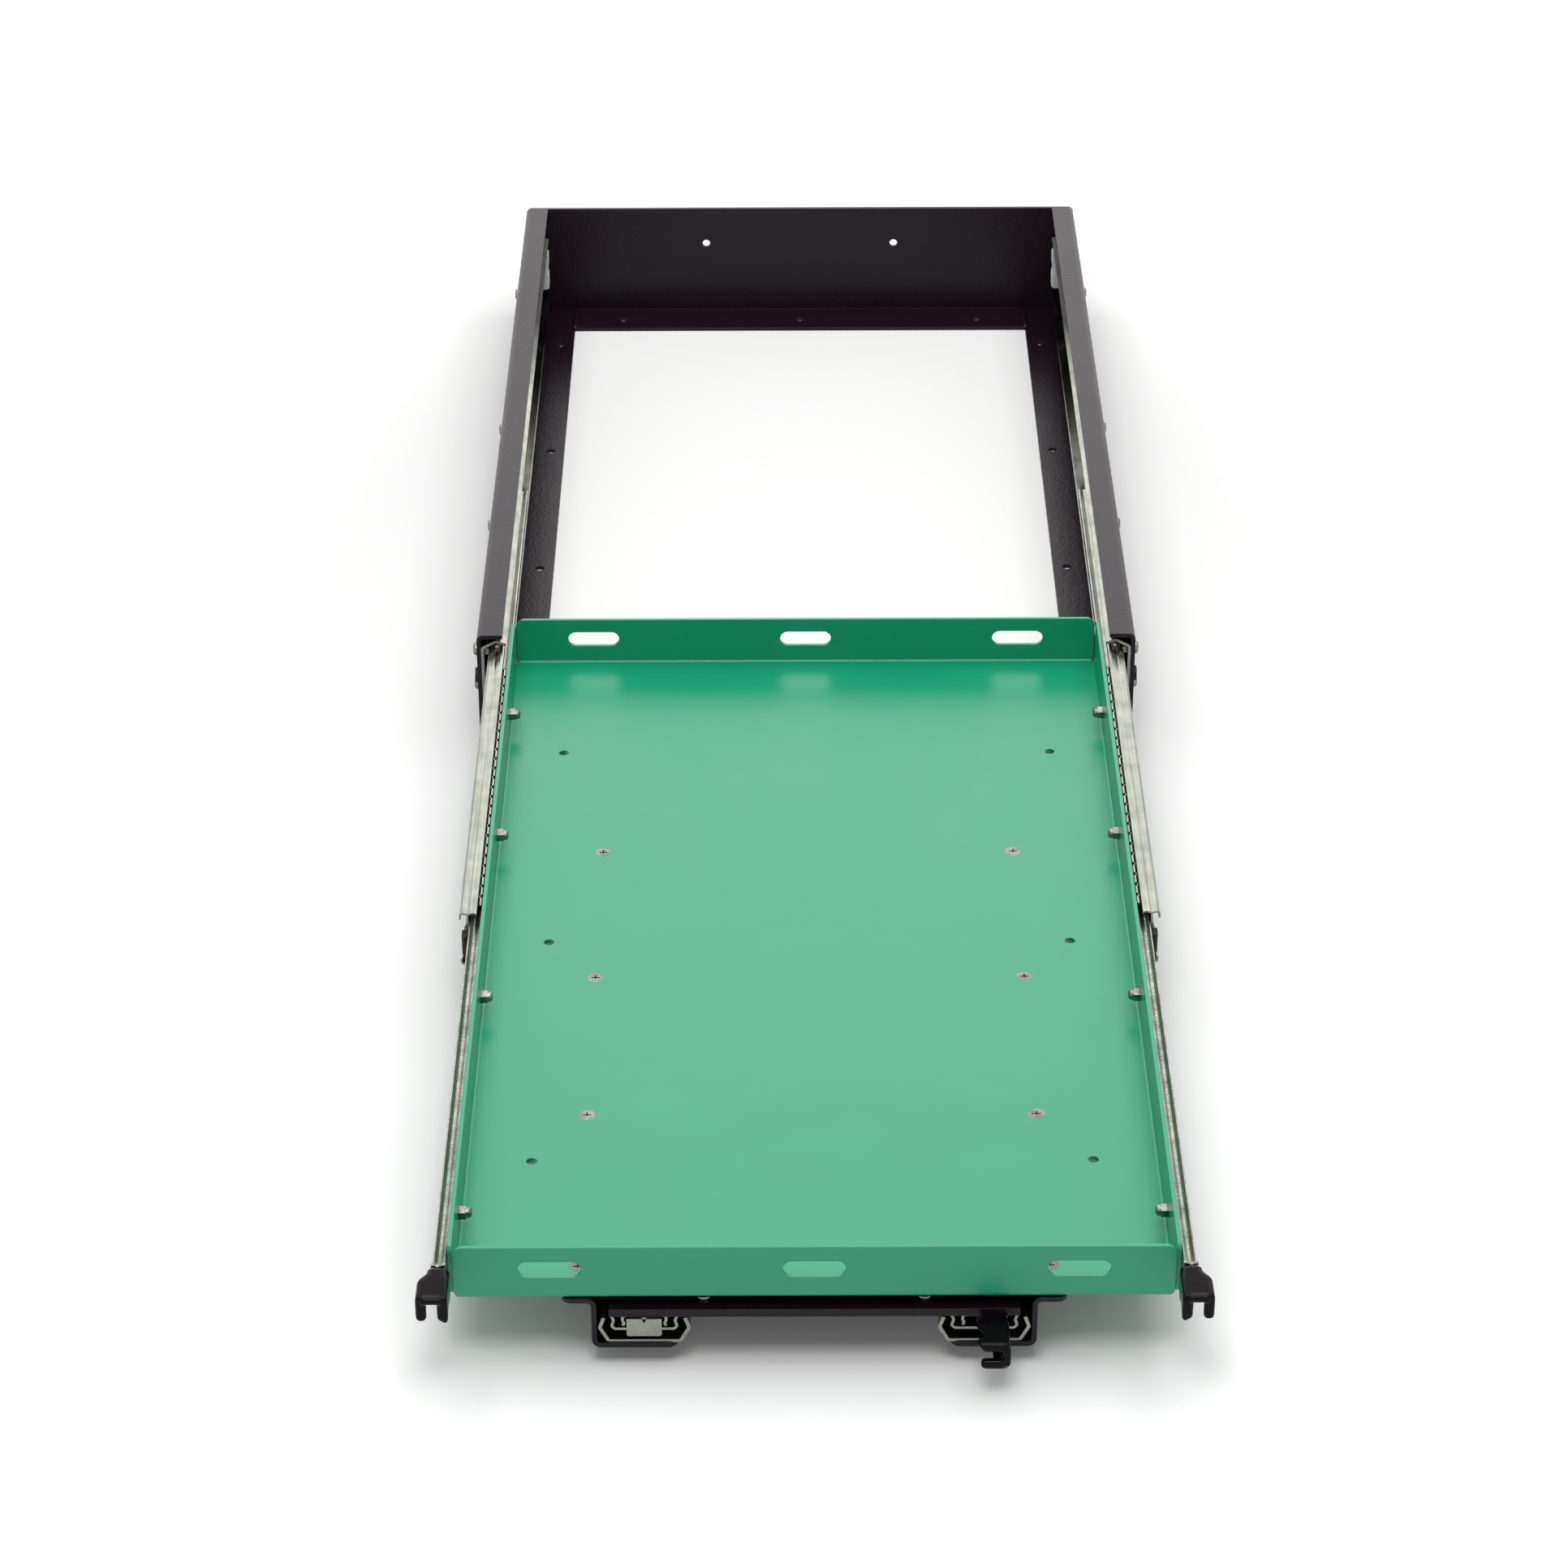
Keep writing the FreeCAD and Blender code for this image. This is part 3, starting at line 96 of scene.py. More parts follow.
def add_node(tree: bpy.types.NodeTree, kind: str, values: dict | None = None,
             links: dict | None = None, **settings: object) -> bpy.types.Node:
    """Add a node to a material with its settings, values and links.

    Args:
        tree: The material's node tree.
        kind: The node's type name.
        values: Numbers and colours for its inputs, by name or number.
        links: Output sockets to join to its inputs, by name or number.
        settings: Properties of the node itself.

    Returns:
        The new node.
    """
    node = tree.nodes.new(kind)
    for name, value in settings.items():
        setattr(node, name, value)
    for key, value in (values or {}).items():
        node.inputs[key].default_value = value
    for key, socket in (links or {}).items():
        tree.links.new(socket, node.inputs[key])
    return node


def new_material(name: str) -> tuple[bpy.types.Material, bpy.types.NodeTree, bpy.types.NodeSocket]:
    """Start a material and its Object coordinates.

    Args:
        name: The material's name.

    Returns:
        The material, its emptied node tree and the Object coordinate socket.
    """
    material = bpy.data.materials.new(name)
    material.use_nodes = True
    tree = material.node_tree
    tree.nodes.clear()
    place = add_node(tree, "ShaderNodeTexCoord")
    return material, tree, place.outputs["Object"]


def output(tree: bpy.types.NodeTree, shader: bpy.types.NodeSocket) -> None:
    """Join a shader to a new material output."""
    add_node(tree, "ShaderNodeOutputMaterial", links={"Surface": shader})


@dataclass(frozen=True)
class PowderCoat:
    """Baked powder coat on folded sheet: a film with an even orange peel that softens each edge."""

    name: str
    colour: str
    cloud_colour: str
    roughness: float
    peel_mm: float
    peel_height_mm: float
    edge_mm: float = 0.5
    cloud_mm: float = 60.0
    roughness_swing: float = 0.06
    specular: float = 0.5

    def build(self) -> bpy.types.Material:
        """Make the material."""
        material, tree, place = new_material(self.name)
        clouds = add_node(tree, "ShaderNodeTexNoise", {"Scale": grain(self.cloud_mm), "Detail": 2.0},
                          {"Vector": place})
        peel = add_node(tree, "ShaderNodeTexNoise", {"Scale": grain(self.peel_mm), "Detail": 1.5},
                        {"Vector": place})
        colour = add_node(tree, "ShaderNodeMix", {6: linear(self.colour), 7: linear(self.cloud_colour)},
                          {0: clouds.outputs["Fac"]}, data_type="RGBA")
        rough = add_node(tree, "ShaderNodeMapRange",
                         {"To Min": self.roughness - self.roughness_swing,
                          "To Max": self.roughness + self.roughness_swing},
                         {"Value": clouds.outputs["Fac"]})
        edge = add_node(tree, "ShaderNodeBevel", {"Radius": mm(self.edge_mm)}, samples=4)
        bump = add_node(tree, "ShaderNodeBump", {"Strength": 1.0, "Distance": mm(self.peel_height_mm)},
                        {"Height": peel.outputs["Fac"], "Normal": edge.outputs["Normal"]})
        coat = add_node(tree, "ShaderNodeBsdfPrincipled",
                        {"Metallic": 0.0, "IOR": 1.5, "Specular IOR Level": self.specular},
                        {"Base Color": colour.outputs[2], "Roughness": rough.outputs["Result"],
                         "Normal": bump.outputs["Normal"]})
        output(tree, coat.outputs["BSDF"])
        return material


@dataclass(frozen=True)
class RolledZinc:
    """Zinc-plated steel that was rolled to shape: long faint streaks along Y and a milky shine.

    A near-black film of painted shade and painted dark reflection may cover it from a place along Y, and
    thicken towards the rear."""

    name: str
    colour: str
    streak_colour: str
    roughness: float
    streak_mm: float = 1.6
    streak_run: float = 0.03
    roughness_swing: float = 0.1
    streak_height_mm: float = 0.02
    # Painted shade and painted dark reflection: where it starts along Y, how far it fades in, how much it
    # covers, and its near-black colour.
    shade_from: float | None = None
    shade_run: float = 150.0
    shade_cover: float = 0.88
    shade_colour: str = "0E0C0E"
    bloom_times: float = 9.0
    contrast: tuple[float, float] = (0.36, 0.64)

    def build(self) -> bpy.types.Material:
        """Make the material."""
        material, tree, place = new_material(self.name)
        along = add_node(tree, "ShaderNodeMapping", {"Scale": (1.0, self.streak_run, 1.0)},
                         {"Vector": place})
        streaks = add_node(tree, "ShaderNodeTexNoise", {"Scale": grain(self.streak_mm), "Detail": 4.0},
                           {"Vector": along.outputs["Vector"]})
        blooms = add_node(tree, "ShaderNodeTexNoise",
                          {"Scale": grain(self.streak_mm * self.bloom_times), "Detail": 3.0},
                          {"Vector": place})
        half_streaks = add_node(tree, "ShaderNodeMath", {1: 0.5}, {0: streaks.outputs["Fac"]},
                                operation="MULTIPLY")
        mottle = add_node(tree, "ShaderNodeMath", {1: 0.5},
                          {0: blooms.outputs["Fac"], 2: half_streaks.outputs["Value"]},
                          operation="MULTIPLY_ADD")
        spread = add_node(tree, "ShaderNodeMapRange",
                          {"From Min": self.contrast[0], "From Max": self.contrast[1]},
                          {"Value": mottle.outputs["Value"]})
        colour = add_node(tree, "ShaderNodeMix", {6: linear(self.streak_colour), 7: linear(self.colour)},
                          {0: spread.outputs["Result"]}, data_type="RGBA")
        rough = add_node(tree, "ShaderNodeMapRange",
                         {"To Min": self.roughness + self.roughness_swing,
                          "To Max": self.roughness - self.roughness_swing},
                         {"Value": spread.outputs["Result"]})
        bump = add_node(tree, "ShaderNodeBump", {"Strength": 1.0, "Distance": mm(self.streak_height_mm)},
                        {"Height": streaks.outputs["Fac"]})
        steel = add_node(tree, "ShaderNodeBsdfPrincipled", {"Metallic": 1.0},
                         {"Base Color": colour.outputs[2], "Roughness": rough.outputs["Result"],
                          "Normal": bump.outputs["Normal"]})
        shader = steel.outputs["BSDF"]
        # Painted shade: a near-black diffuse film mixed over the steel, fading in along Y towards the rear.
        if self.shade_from is not None:
            split = add_node(tree, "ShaderNodeSeparateXYZ", links={"Vector": place})
            film = add_node(tree, "ShaderNodeMapRange",
                            {"From Min": mm(self.shade_from),
                             "From Max": mm(self.shade_from + self.shade_run),
                             "To Max": self.shade_cover},
                            {"Value": split.outputs["Y"]})
            painted_shade = add_node(tree, "ShaderNodeBsdfDiffuse", {"Color": linear(self.shade_colour)})
            shaded = add_node(tree, "ShaderNodeMixShader",
                               links={0: film.outputs["Result"], 1: shader, 2: painted_shade.outputs["BSDF"]})
            shader = shaded.outputs["Shader"]
        output(tree, shader)
        return material


@dataclass(frozen=True)
class MouldedPlastic:
    """Moulded or dipped plastic: an even colour, a smooth skin and slight ripples."""

    name: str
    colour: str
    cloud_colour: str
    roughness: float
    ripple_mm: float
    ripple_height_mm: float
    ior: float = 1.5
    roughness_swing: float = 0.05
    specular: float = 0.5

    def build(self) -> bpy.types.Material:
        """Make the material."""
        material, tree, place = new_material(self.name)
        clouds = add_node(tree, "ShaderNodeTexNoise", {"Scale": grain(self.ripple_mm * 3), "Detail": 3.0},
                          {"Vector": place})
        ripples = add_node(tree, "ShaderNodeTexNoise", {"Scale": grain(self.ripple_mm), "Detail": 2.0},
                           {"Vector": place})
        colour = add_node(tree, "ShaderNodeMix", {6: linear(self.colour), 7: linear(self.cloud_colour)},
                          {0: clouds.outputs["Fac"]}, data_type="RGBA")
        rough = add_node(tree, "ShaderNodeMapRange",
                         {"To Min": self.roughness - self.roughness_swing,
                          "To Max": self.roughness + self.roughness_swing},
                         {"Value": clouds.outputs["Fac"]})
        bump = add_node(tree, "ShaderNodeBump", {"Strength": 1.0, "Distance": mm(self.ripple_height_mm)},
                        {"Height": ripples.outputs["Fac"]})
        plastic = add_node(tree, "ShaderNodeBsdfPrincipled",
                           {"IOR": self.ior, "Specular IOR Level": self.specular},
                           {"Base Color": colour.outputs[2], "Roughness": rough.outputs["Result"],
                            "Normal": bump.outputs["Normal"]})
        output(tree, plastic.outputs["BSDF"])
        return material


# Semi-gloss black powder coat with a coarse orange peel, which catches the light as speckle;
# the peel is drawn about twice as coarse as it is, so that it shows in the render.
FRAME_COAT = PowderCoat("black_powder_coat_textured", "160612", "1B0D18", 0.34, 2.0, 0.2, specular=0.23)
# The same coat, smoother, on the folded brackets.
BRACKET_COAT = PowderCoat("black_powder_coat_smooth", "110912", "170E16", 0.3, 3.0, 0.05, specular=0.22)
# Satin green powder coat: a fine peel that blurs what it mirrors.
TRAY_COAT = PowderCoat("green_powder_coat_satin", "00916A", "00956D", 0.33, 1.6, 0.02, specular=0.6)
# Black powder coat on the table sheet.
TABLE_COAT = PowderCoat("black_powder_coat_table", "120A12", "180F16", 0.3, 2.6, 0.05, specular=0.22)
# Zinc-plated rolled rails: a warm, slightly green silver.
RAIL_ZINC = RolledZinc("zinc_plated_rolled_steel", "9C9E92", "83867D", 0.26)
# The same plate, darkened towards the rear end by painted shade and a painted dark reflection.
SHADED_RAIL = RolledZinc("zinc_plated_rolled_steel_painted_shade", "9C9E92", "83867D", 0.26, shade_from=380.0)
# The inner rails, whose plating is blotched all over.
MOTTLED_ZINC = RolledZinc("zinc_plated_rolled_steel_mottled", "A9ABA0", "6C6F66", 0.3, 1.7, 0.8, 0.1, 0.05)
# Zinc-plated small pressings.
CAGE_STEEL = RolledZinc("zinc_plated_pressed_cage", "A9ACA2", "6E716A", 0.42, 0.8, 0.3)
# Bright zinc plate on turned fasteners.
FASTENER_ZINC = RolledZinc("zinc_plated_fastener", "8E8F88", "5E5F5A", 0.13, 0.9, 0.6, 0.05)
# Dipped black vinyl: thick, soft and glossy.
VINYL = MouldedPlastic("dipped_black_vinyl", "080407", "0D070C", 0.14, 5.0, 0.06, 1.25, specular=0.3)
# Black rubber, dull.
RUBBER = MouldedPlastic("moulded_black_rubber", "0C0B0C", "121112", 0.6, 1.5, 0.03, 1.45)
# Near-black steel strip that paints the shade in the gaps along the ball tracks.
SHADE_STRIP_STEEL = RolledZinc("painted_shade_strip", "12130F", "060706", 0.5, 0.8, 0.3)
# Pale grey moulded plastic, slightly milky.
BUFFER_PLASTIC = MouldedPlastic("moulded_pale_nylon", "C9CCC8", "B4B8B4", 0.42, 2.5, 0.05, 1.5)


def dress(names: list[str], material: bpy.types.Material) -> None:
    """Give CAD nodes one material.

    Args:
        names: The nodes' names.
        material: The material.
    """
    for name in names:
        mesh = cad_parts[name].data
        mesh.materials.clear()
        mesh.materials.append(material)
        LOG.info("dressed %s in %s", name, material.name)


def both(stem: str) -> list[str]:
    """The left and right nodes of a name."""
    return [f"{stem}_{name}" for name, _ in SIDES]


class Mounting(Enum):
    """How a slide lies: on its edge against a base web, or flat on a bracket's foot."""

    STANDING = "standing"
    LYING = "lying"


@dataclass(frozen=True)
class SlidePlace:
    """Where a slide sits. Its points are given across it, along Y and by depth from its back."""

    mounting: Mounting
    side: int

    def at(self, across: float, y: float, depth: float) -> Vector:
        """A point of the slide, given in millimetres."""
        if self.mounting is Mounting.STANDING:
            return point(self.side * (WEB_INSIDE - depth), y, SLIDE_Z + across)
        return point(self.side * TABLE_SLIDE_X + across, y, TABLE_SLIDE_Z + depth)


def add_piece(name: str, shape: bmesh.types.BMesh, material: bpy.types.Material, body: str,
              replaces: tuple[str, ...] = (), sharp_degrees: float = 40.0) -> bpy.types.Object:
    """Turn a finished shape into a piece that rides on a body.

    Args:
        name: The piece's name.
        shape: Its mesh, in metres in the frame. It is freed.
        material: Its material.
        body: The body it moves with.
        replaces: CAD nodes that it stands for.
        sharp_degrees: Edges that turn by more than this stay sharp.

    Returns:
        The new object.
    """
    bmesh.ops.remove_doubles(shape, verts=shape.verts, dist=mm(0.001))
    bmesh.ops.recalc_face_normals(shape, faces=shape.faces)
    mesh = bpy.data.meshes.new(name)
    shape.to_mesh(mesh)
    shape.free()
    mesh.shade_smooth()
    mesh.set_sharp_from_angle(angle=math.radians(sharp_degrees))
    mesh.materials.append(material)
    piece = bpy.data.objects.new(name, mesh)
    bpy.context.scene.collection.objects.link(piece)
    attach(piece, body)
    if replaces:
        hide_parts(*replaces)
    LOG.info("added %s with %d faces on %s", name, len(mesh.polygons), body)
    return piece


def merge_in(shape: bmesh.types.BMesh, part: bmesh.types.BMesh) -> None:
    """Add one shape to another.

    Args:
        shape: The shape that grows.
        part: The shape that goes into it. It is freed.
    """
    mesh = bpy.data.meshes.new("part")
    part.to_mesh(mesh)
    part.free()
    shape.from_mesh(mesh)
    bpy.data.meshes.remove(mesh)


def solid(outline: list[Vector], run: Vector, round_mm: float = 0.0, steps: int = 2) -> bmesh.types.BMesh:
    """A flat outline run along a direction, with its edges rounded.

    Args:
        outline: The corners of its first face, in metres.
        run: How far it runs, in metres.
        round_mm: The radius of its edges.
        steps: The segments of each rounding.

    Returns:
        The closed shape.
    """
    shape = bmesh.new()
    face = shape.faces.new([shape.verts.new(corner) for corner in outline])
    made = bmesh.ops.extrude_face_region(shape, geom=[face])
    ends = [item for item in made["geom"] if isinstance(item, bmesh.types.BMVert)]
    bmesh.ops.translate(shape, verts=ends, vec=run)
    bmesh.ops.recalc_face_normals(shape, faces=shape.faces)
    if round_mm > 0:
        bmesh.ops.bevel(shape, geom=list(shape.edges), offset=mm(round_mm), affect="EDGES", segments=steps,
                        profile=0.5, material=-1)
    return shape


def melted(shape: bmesh.types.BMesh, voxel_mm: float, rounds: int) -> bmesh.types.BMesh:
    """Melt overlapping closed shells into one skin and smooth it.

    Args:
        shape: The shells. They are freed.
        voxel_mm: The size of the skin's cells.
        rounds: How many times it is smoothed.

    Returns:
        The skin.
    """
    mesh = bpy.data.meshes.new("shells")
    shape.to_mesh(mesh)
    shape.free()
    shells = bpy.data.objects.new("shells", mesh)
    bpy.context.scene.collection.objects.link(shells)
    skin = shells.modifiers.new("skin", "REMESH")
    skin.mode = "VOXEL"
    skin.voxel_size = mm(voxel_mm)
    smooth = shells.modifiers.new("smooth", "SMOOTH")
    smooth.factor = 0.5
    smooth.iterations = rounds
    graph = bpy.context.evaluated_depsgraph_get()
    done = bpy.data.meshes.new_from_object(shells.evaluated_get(graph))
    result = bmesh.new()
    result.from_mesh(done)
    bpy.data.objects.remove(shells)
    bpy.data.meshes.remove(mesh)
    bpy.data.meshes.remove(done)
    return result


def sheet_outline(path: list[tuple[float, float]], thickness: float) -> list[tuple[float, float]]:
    """The outline of a sheet bent along a path.

    Args:
        path: The middle of the sheet as (across, depth).
        thickness: The sheet's thickness.

    Returns:
        The corners down one side and back up the other.
    """
    sides: tuple[list, list] = ([], [])
    for i, (a, d) in enumerate(path):
        normals = []
        for j, k in ((i - 1, i), (i, i + 1)):
            if j >= 0 and k < len(path):
                run = Vector((path[k][0] - path[j][0], path[k][1] - path[j][1])).normalized()
                normals.append(Vector((-run.y, run.x)))
        total = sum(normals, Vector((0.0, 0.0)))
        off = total * (len(normals) * thickness / 2 / total.length_squared)
        sides[0].append((a + off.x, d + off.y))
        sides[1].append((a - off.x, d - off.y))
    return sides[0] + sides[1][::-1]


def eased(path: list[tuple[float, float]], share: float = 0.3) -> list[tuple[float, float]]:
    """Cut the inner corners of a path twice, which rounds them.

    Args:
        path: The corners as (across, depth).
        share: The part of each run that is cut off at each end.

    Returns:
        The longer path.
    """
    for _ in range(2):
        points = [path[0]]
        for (a0, d0), (a1, d1) in zip(path, path[1:]):
            points.append((a0 + (a1 - a0) * share, d0 + (d1 - d0) * share))
            points.append((a1 + (a0 - a1) * share, d1 + (d0 - d1) * share))
        points.append(path[-1])
        path = points
    return path


def rolled(place: SlidePlace, path: list[tuple[float, float]], thickness: float, y0: float,
           y1: float) -> bmesh.types.BMesh:
    """A sheet rolled to a path and run along a slide.

    Args:
        place: The slide.
        path: The middle of the sheet as (across, depth).
        thickness: The sheet's thickness.
        y0: Where it starts along Y.
        y1: Where it ends.

    Returns:
        The closed shape.
    """
    outline = [place.at(a, y0, d) for a, d in sheet_outline(eased(path), thickness)]
    return solid(outline, point(0, y1 - y0, 0))


def mirrored(path: list[tuple[float, float]]) -> list[tuple[float, float]]:
    """A path of (across, depth) points followed by its own mirror image."""
    return path + [(-a, d) for a, d in path[::-1]]


def block(place: SlidePlace, across: tuple[float, float], y: tuple[float, float],
          depth: tuple[float, float], round_mm: float, steps: int = 2) -> bmesh.types.BMesh:
    """A block with rounded edges on a slide.

    Args:
        place: The slide.
        across: Its two sides across the slide.
        y: Its two ends.
        depth: Its two faces by depth.
        round_mm: The radius of its edges.
        steps: The segments of each rounding.

    Returns:
        The closed shape.
    """
    corners = ((across[0], depth[0]), (across[1], depth[0]), (across[1], depth[1]), (across[0], depth[1]))
    outline = [place.at(a, y[0], d) for a, d in corners]
    return solid(outline, point(0, y[1] - y[0], 0), round_mm, steps)


@dataclass(frozen=True)
class WeldBead:
    """A weld laid along Y: overlapping ripples that stand a little proud of the sheet."""

    x: float
    y0: float
    length: float = 30.0
    width: float = 5.4
    height: float = 1.9
    ripples: int = 11
    overlap: float = 0.95
    sway: float = 0.35
    sway_turn: float = 2.4
    swell: float = 0.3
    swell_turn: float = 1.7

    def build(self) -> bmesh.types.BMesh:
        """Make the bead."""
        shape = bmesh.new()
        pitch = self.length / self.ripples
        for i in range(self.ripples):
            sway = self.sway * math.sin(i * self.sway_turn + self.x)
            size = Vector((self.width / 2 + self.swell * math.sin(i * self.swell_turn),
                           pitch * self.overlap, self.height))
            spot = point(self.x + sway, self.y0 + pitch * (i + 0.5), BASE_SHEET)
            turn = Matrix.Translation(spot) @ Matrix.Diagonal((mm(size.x), mm(size.y), mm(size.z), 1.0))
            bmesh.ops.create_icosphere(shape, subdivisions=2, radius=1.0, matrix=turn)
        return shape


@dataclass
class BaseFrame:
    """The welded base frame, which carries the outer members of the side slides; those are dressed with the
    slides.
    """

    foot_edge: float = 190.0
    rear_bead_y: float = 707.0
    front_bead_y: float = 5.0
    weld_voxel: float = 0.45
    weld_rounds: int = 2

    def build(self, coat: bpy.types.Material) -> None:
        """Lay the welds between the feet.

        Args:
            coat: The coat over them.
        """
        shape = bmesh.new()
        for side in (-1, 1):
            for y in (self.rear_bead_y, self.front_bead_y):
                merge_in(shape, WeldBead(side * self.foot_edge, y).build())
        add_piece("weld_ripples", melted(shape, self.weld_voxel, self.weld_rounds), coat, "base",
                  ("base_weld_beads",), sharp_degrees=60.0)

    def dress(self) -> None:
        """Give the base its finishes."""
        coat = FRAME_COAT.build()
        dress(["base_left_channel", "base_right_channel", "base_rear_panel", "base_front_strap"], coat)
        self.build(coat)


@dataclass(frozen=True)
class MiddleRail:
    """A middle member: its web stands under a shallow valley between a hooked edge and a plain one."""

    side: int
    name: str
    sheet: float = 1.2
    half: float = 18.85
    hook_depth: float = 5.8
    hook_drop: float = 4.4
    web_depth: float = 10.6
    edge_depth: float = 16.3
    stop_length: float = 33.0

    def build(self, material: bpy.types.Material, rubber: bpy.types.Material) -> None:
        """Make the member, and the rubber stop with its bent tab in the lower channel.

        Args:
            material: The plated steel.
            rubber: The stop's rubber.
        """
        place = SlidePlace(Mounting.STANDING, self.side)
        front = MIDDLE_FRONT
        lip = [(self.half - self.hook_drop, self.hook_depth), (self.half, self.hook_depth),
               (self.half, self.web_depth - 1.6), (self.half - 1.1, self.web_depth),
               (self.half, self.web_depth + 1.6), (self.half, self.edge_depth - 0.8),
               (self.half - 1.2, self.edge_depth)]
        shape = rolled(place, lip, self.sheet, front, MIDDLE_REAR)
        merge_in(shape, rolled(place, [(-a, d) for a, d in lip], self.sheet, front, MIDDLE_REAR))
        web = [(self.half - 1.3, self.web_depth), (-self.half + 1.3, self.web_depth)]
        merge_in(shape, rolled(place, web, self.sheet, front, MIDDLE_REAR))
        arch = [(-self.half + 3.4, self.hook_depth + 0.2), (-10.5, self.hook_depth + 0.4),
                (-7.0, self.web_depth - 1.0)]
        tab_end = front + self.stop_length
        merge_in(shape, rolled(place, arch, self.sheet, tab_end - 1.0, tab_end))
        add_piece(f"side_middle_rolled_{self.name}", shape, material, f"side_middle_{self.name}",
                  (f"side_middle_rail_{self.name}",), sharp_degrees=25.0)
        stop = block(place, (-17.0, -9.5), (front + 1.0, front + self.stop_length - 1.5),
                     (self.hook_depth + 0.9, self.web_depth - 0.8), 1.0)
        add_piece(f"side_lower_stop_{self.name}", stop, rubber, f"side_middle_{self.name}")


@dataclass(frozen=True)
class InnerRail:
    """An inner member of a side slide: two thin walls along it with a trough between them."""

    side: int
    name: str
    sheet: float = 1.2
    top: float = 13.0
    trough: float = 11.2
    near_wall: float = 12.2
    far_wall: float = 18.6
    foot: float = 8.6
    front: float = SIDE_RAIL_FRONT
    rear: float = -17.0
    curl_sheet: float = 0.9

    def build(self, material: bpy.types.Material) -> None:
        """Make the rolled tracks, the back against the tray and the curled front end.

        Args:
            material: The plated steel.
        """
        place = SlidePlace(Mounting.STANDING, self.side)
        track = [(self.foot, self.near_wall + 0.3), (self.top, self.near_wall),
                 (self.top, self.near_wall + 0.5), (self.trough, self.near_wall + 2.0),
                 (self.trough, self.far_wall - 1.6),
                 (self.top, self.far_wall - 0.4), (self.top - 0.6, self.far_wall + 0.2)]
        shape = rolled(place, mirrored(track), self.sheet, self.front, self.rear)
        curl = [(self.top - 1.0, self.near_wall - 1.2), (self.top + 0.6, self.near_wall),
                (self.trough + 0.4, self.near_wall + 2.4), (self.top + 0.4, self.far_wall - 1.0),
                (self.top + 0.2, self.far_wall + 0.4)]
        merge_in(shape, rolled(place, curl, self.curl_sheet, self.front - 1.0, self.front + 1.6))
        add_piece(f"side_inner_rolled_{self.name}", shape, material, "tray_assembly",
                  (f"side_inner_rail_{self.name}",), sharp_degrees=25.0)


@dataclass(frozen=True)
class BallCage:
    """A pressed ball cage: a near-black strip along each track, painted shade that shows between its bright
    tongues.
    """

    name: str
    body: str
    node: str
    place: SlidePlace
    y0: float
    y1: float
    across: float
    depth0: float
    depth1: float
    pitch: float = 12.4
    tongue: float = 8.8
    lead: float = 0.15
    gap: float = 0.6
    strip_inset: tuple[float, float] = (1.0, 0.5)
    strip_round: float = 0.12
    tongue_sheet: float = 0.55
    tongue_inset: tuple[float, float] = (1.75, 0.2)
    tongue_round: float = 0.25
    link_reach: tuple[float, float] = (0.5, 0.3)
    link_round: float = 0.2

    def build(self, steel: bpy.types.Material, dark: bpy.types.Material) -> None:
        """Make the dark strip of painted shade, and the tongues with the links between them, along both
        edges.

        Args:
            steel: The tongues' steel.
            dark: The strip's steel, dark for the painted shade.
        """
        strip = bmesh.new()
        tongues = bmesh.new()
        middle = (self.depth0 + self.depth1) / 2
        tongue_depth = (self.depth1 - self.tongue_inset[0], self.depth1 - self.tongue_inset[1])
        link_depth = (middle - self.link_reach[0], middle + self.link_reach[1])
        for sign in (-1, 1):
            low, high = sorted(sign * (self.across - inset) for inset in self.strip_inset)
            # The strip is painted shade: a dark sheet laid in the gap, which is in shade.
            merge_in(strip, block(self.place, (low, high), (self.y0, self.y1),
                                  (self.depth0, self.depth1), self.strip_round))
            low, high = sorted((sign * (self.across - self.tongue_sheet), sign * self.across))
            for i in range(int((self.y1 - self.y0) / self.pitch)):
                start = self.y0 + self.pitch * (i + self.lead)
                end = start + self.tongue
                merge_in(tongues, block(self.place, (low, high), (start, end), tongue_depth,
                                        self.tongue_round, 1))
                merge_in(tongues, block(self.place, (low, high), (end, start + self.pitch - self.gap),
                                        link_depth, self.link_round, 1))
        add_piece(f"{self.name}_strip", strip, dark, self.body, (self.node,))
        add_piece(f"{self.name}_tongues", tongues, steel, self.body, (self.node,))


@dataclass(frozen=True)
class Buffer:
    """The moulded buffer in the rear end of a side slide: a block with ribs and a pocket."""

    side: int
    name: str
    half: float = 16.0
    near: float = 17.5
    back: float = 2.1
    pad_height: float = 1.2
    pad_root: float = 2.0
    pad_across: tuple[float, float] = (4.5, -2.5)
    pad_edge: float = 0.8
    pad_end: float = 0.4
    rib_across: tuple[float, float] = (-3.5, 5.5)
    rib_run: tuple[float, float] = (5.5, 8.0)
    rib_drop: float = 0.4

    def build(self, material: bpy.types.Material) -> None:
        """Make the block, its two raised pads and the rib between them.

        Args:
            material: The moulded plastic.
        """
        place = SlidePlace(Mounting.STANDING, self.side)
        root = self.near - self.pad_root
        shape = block(place, (-self.half, self.half), (RAIL_REAR, BUFFER_REAR),
                      (self.back, self.near - self.pad_height), 0.8, 3)
        for across in ((self.pad_across[0], self.half - self.pad_edge),
                       (-self.half + self.pad_edge, self.pad_across[1])):
            merge_in(shape, block(place, across, (RAIL_REAR + self.pad_end, BUFFER_REAR - self.pad_end),
                                  (root, self.near), 0.6))
        rib_ends = (RAIL_REAR + self.rib_run[0], RAIL_REAR + self.rib_run[1])
        merge_in(shape, block(place, self.rib_across, rib_ends, (root, self.near - self.rib_drop), 0.5))
        add_piece(f"moulded_buffer_{self.name}", shape, material, "base",
                  (f"rear_buffer_{self.name}",), sharp_degrees=50.0)


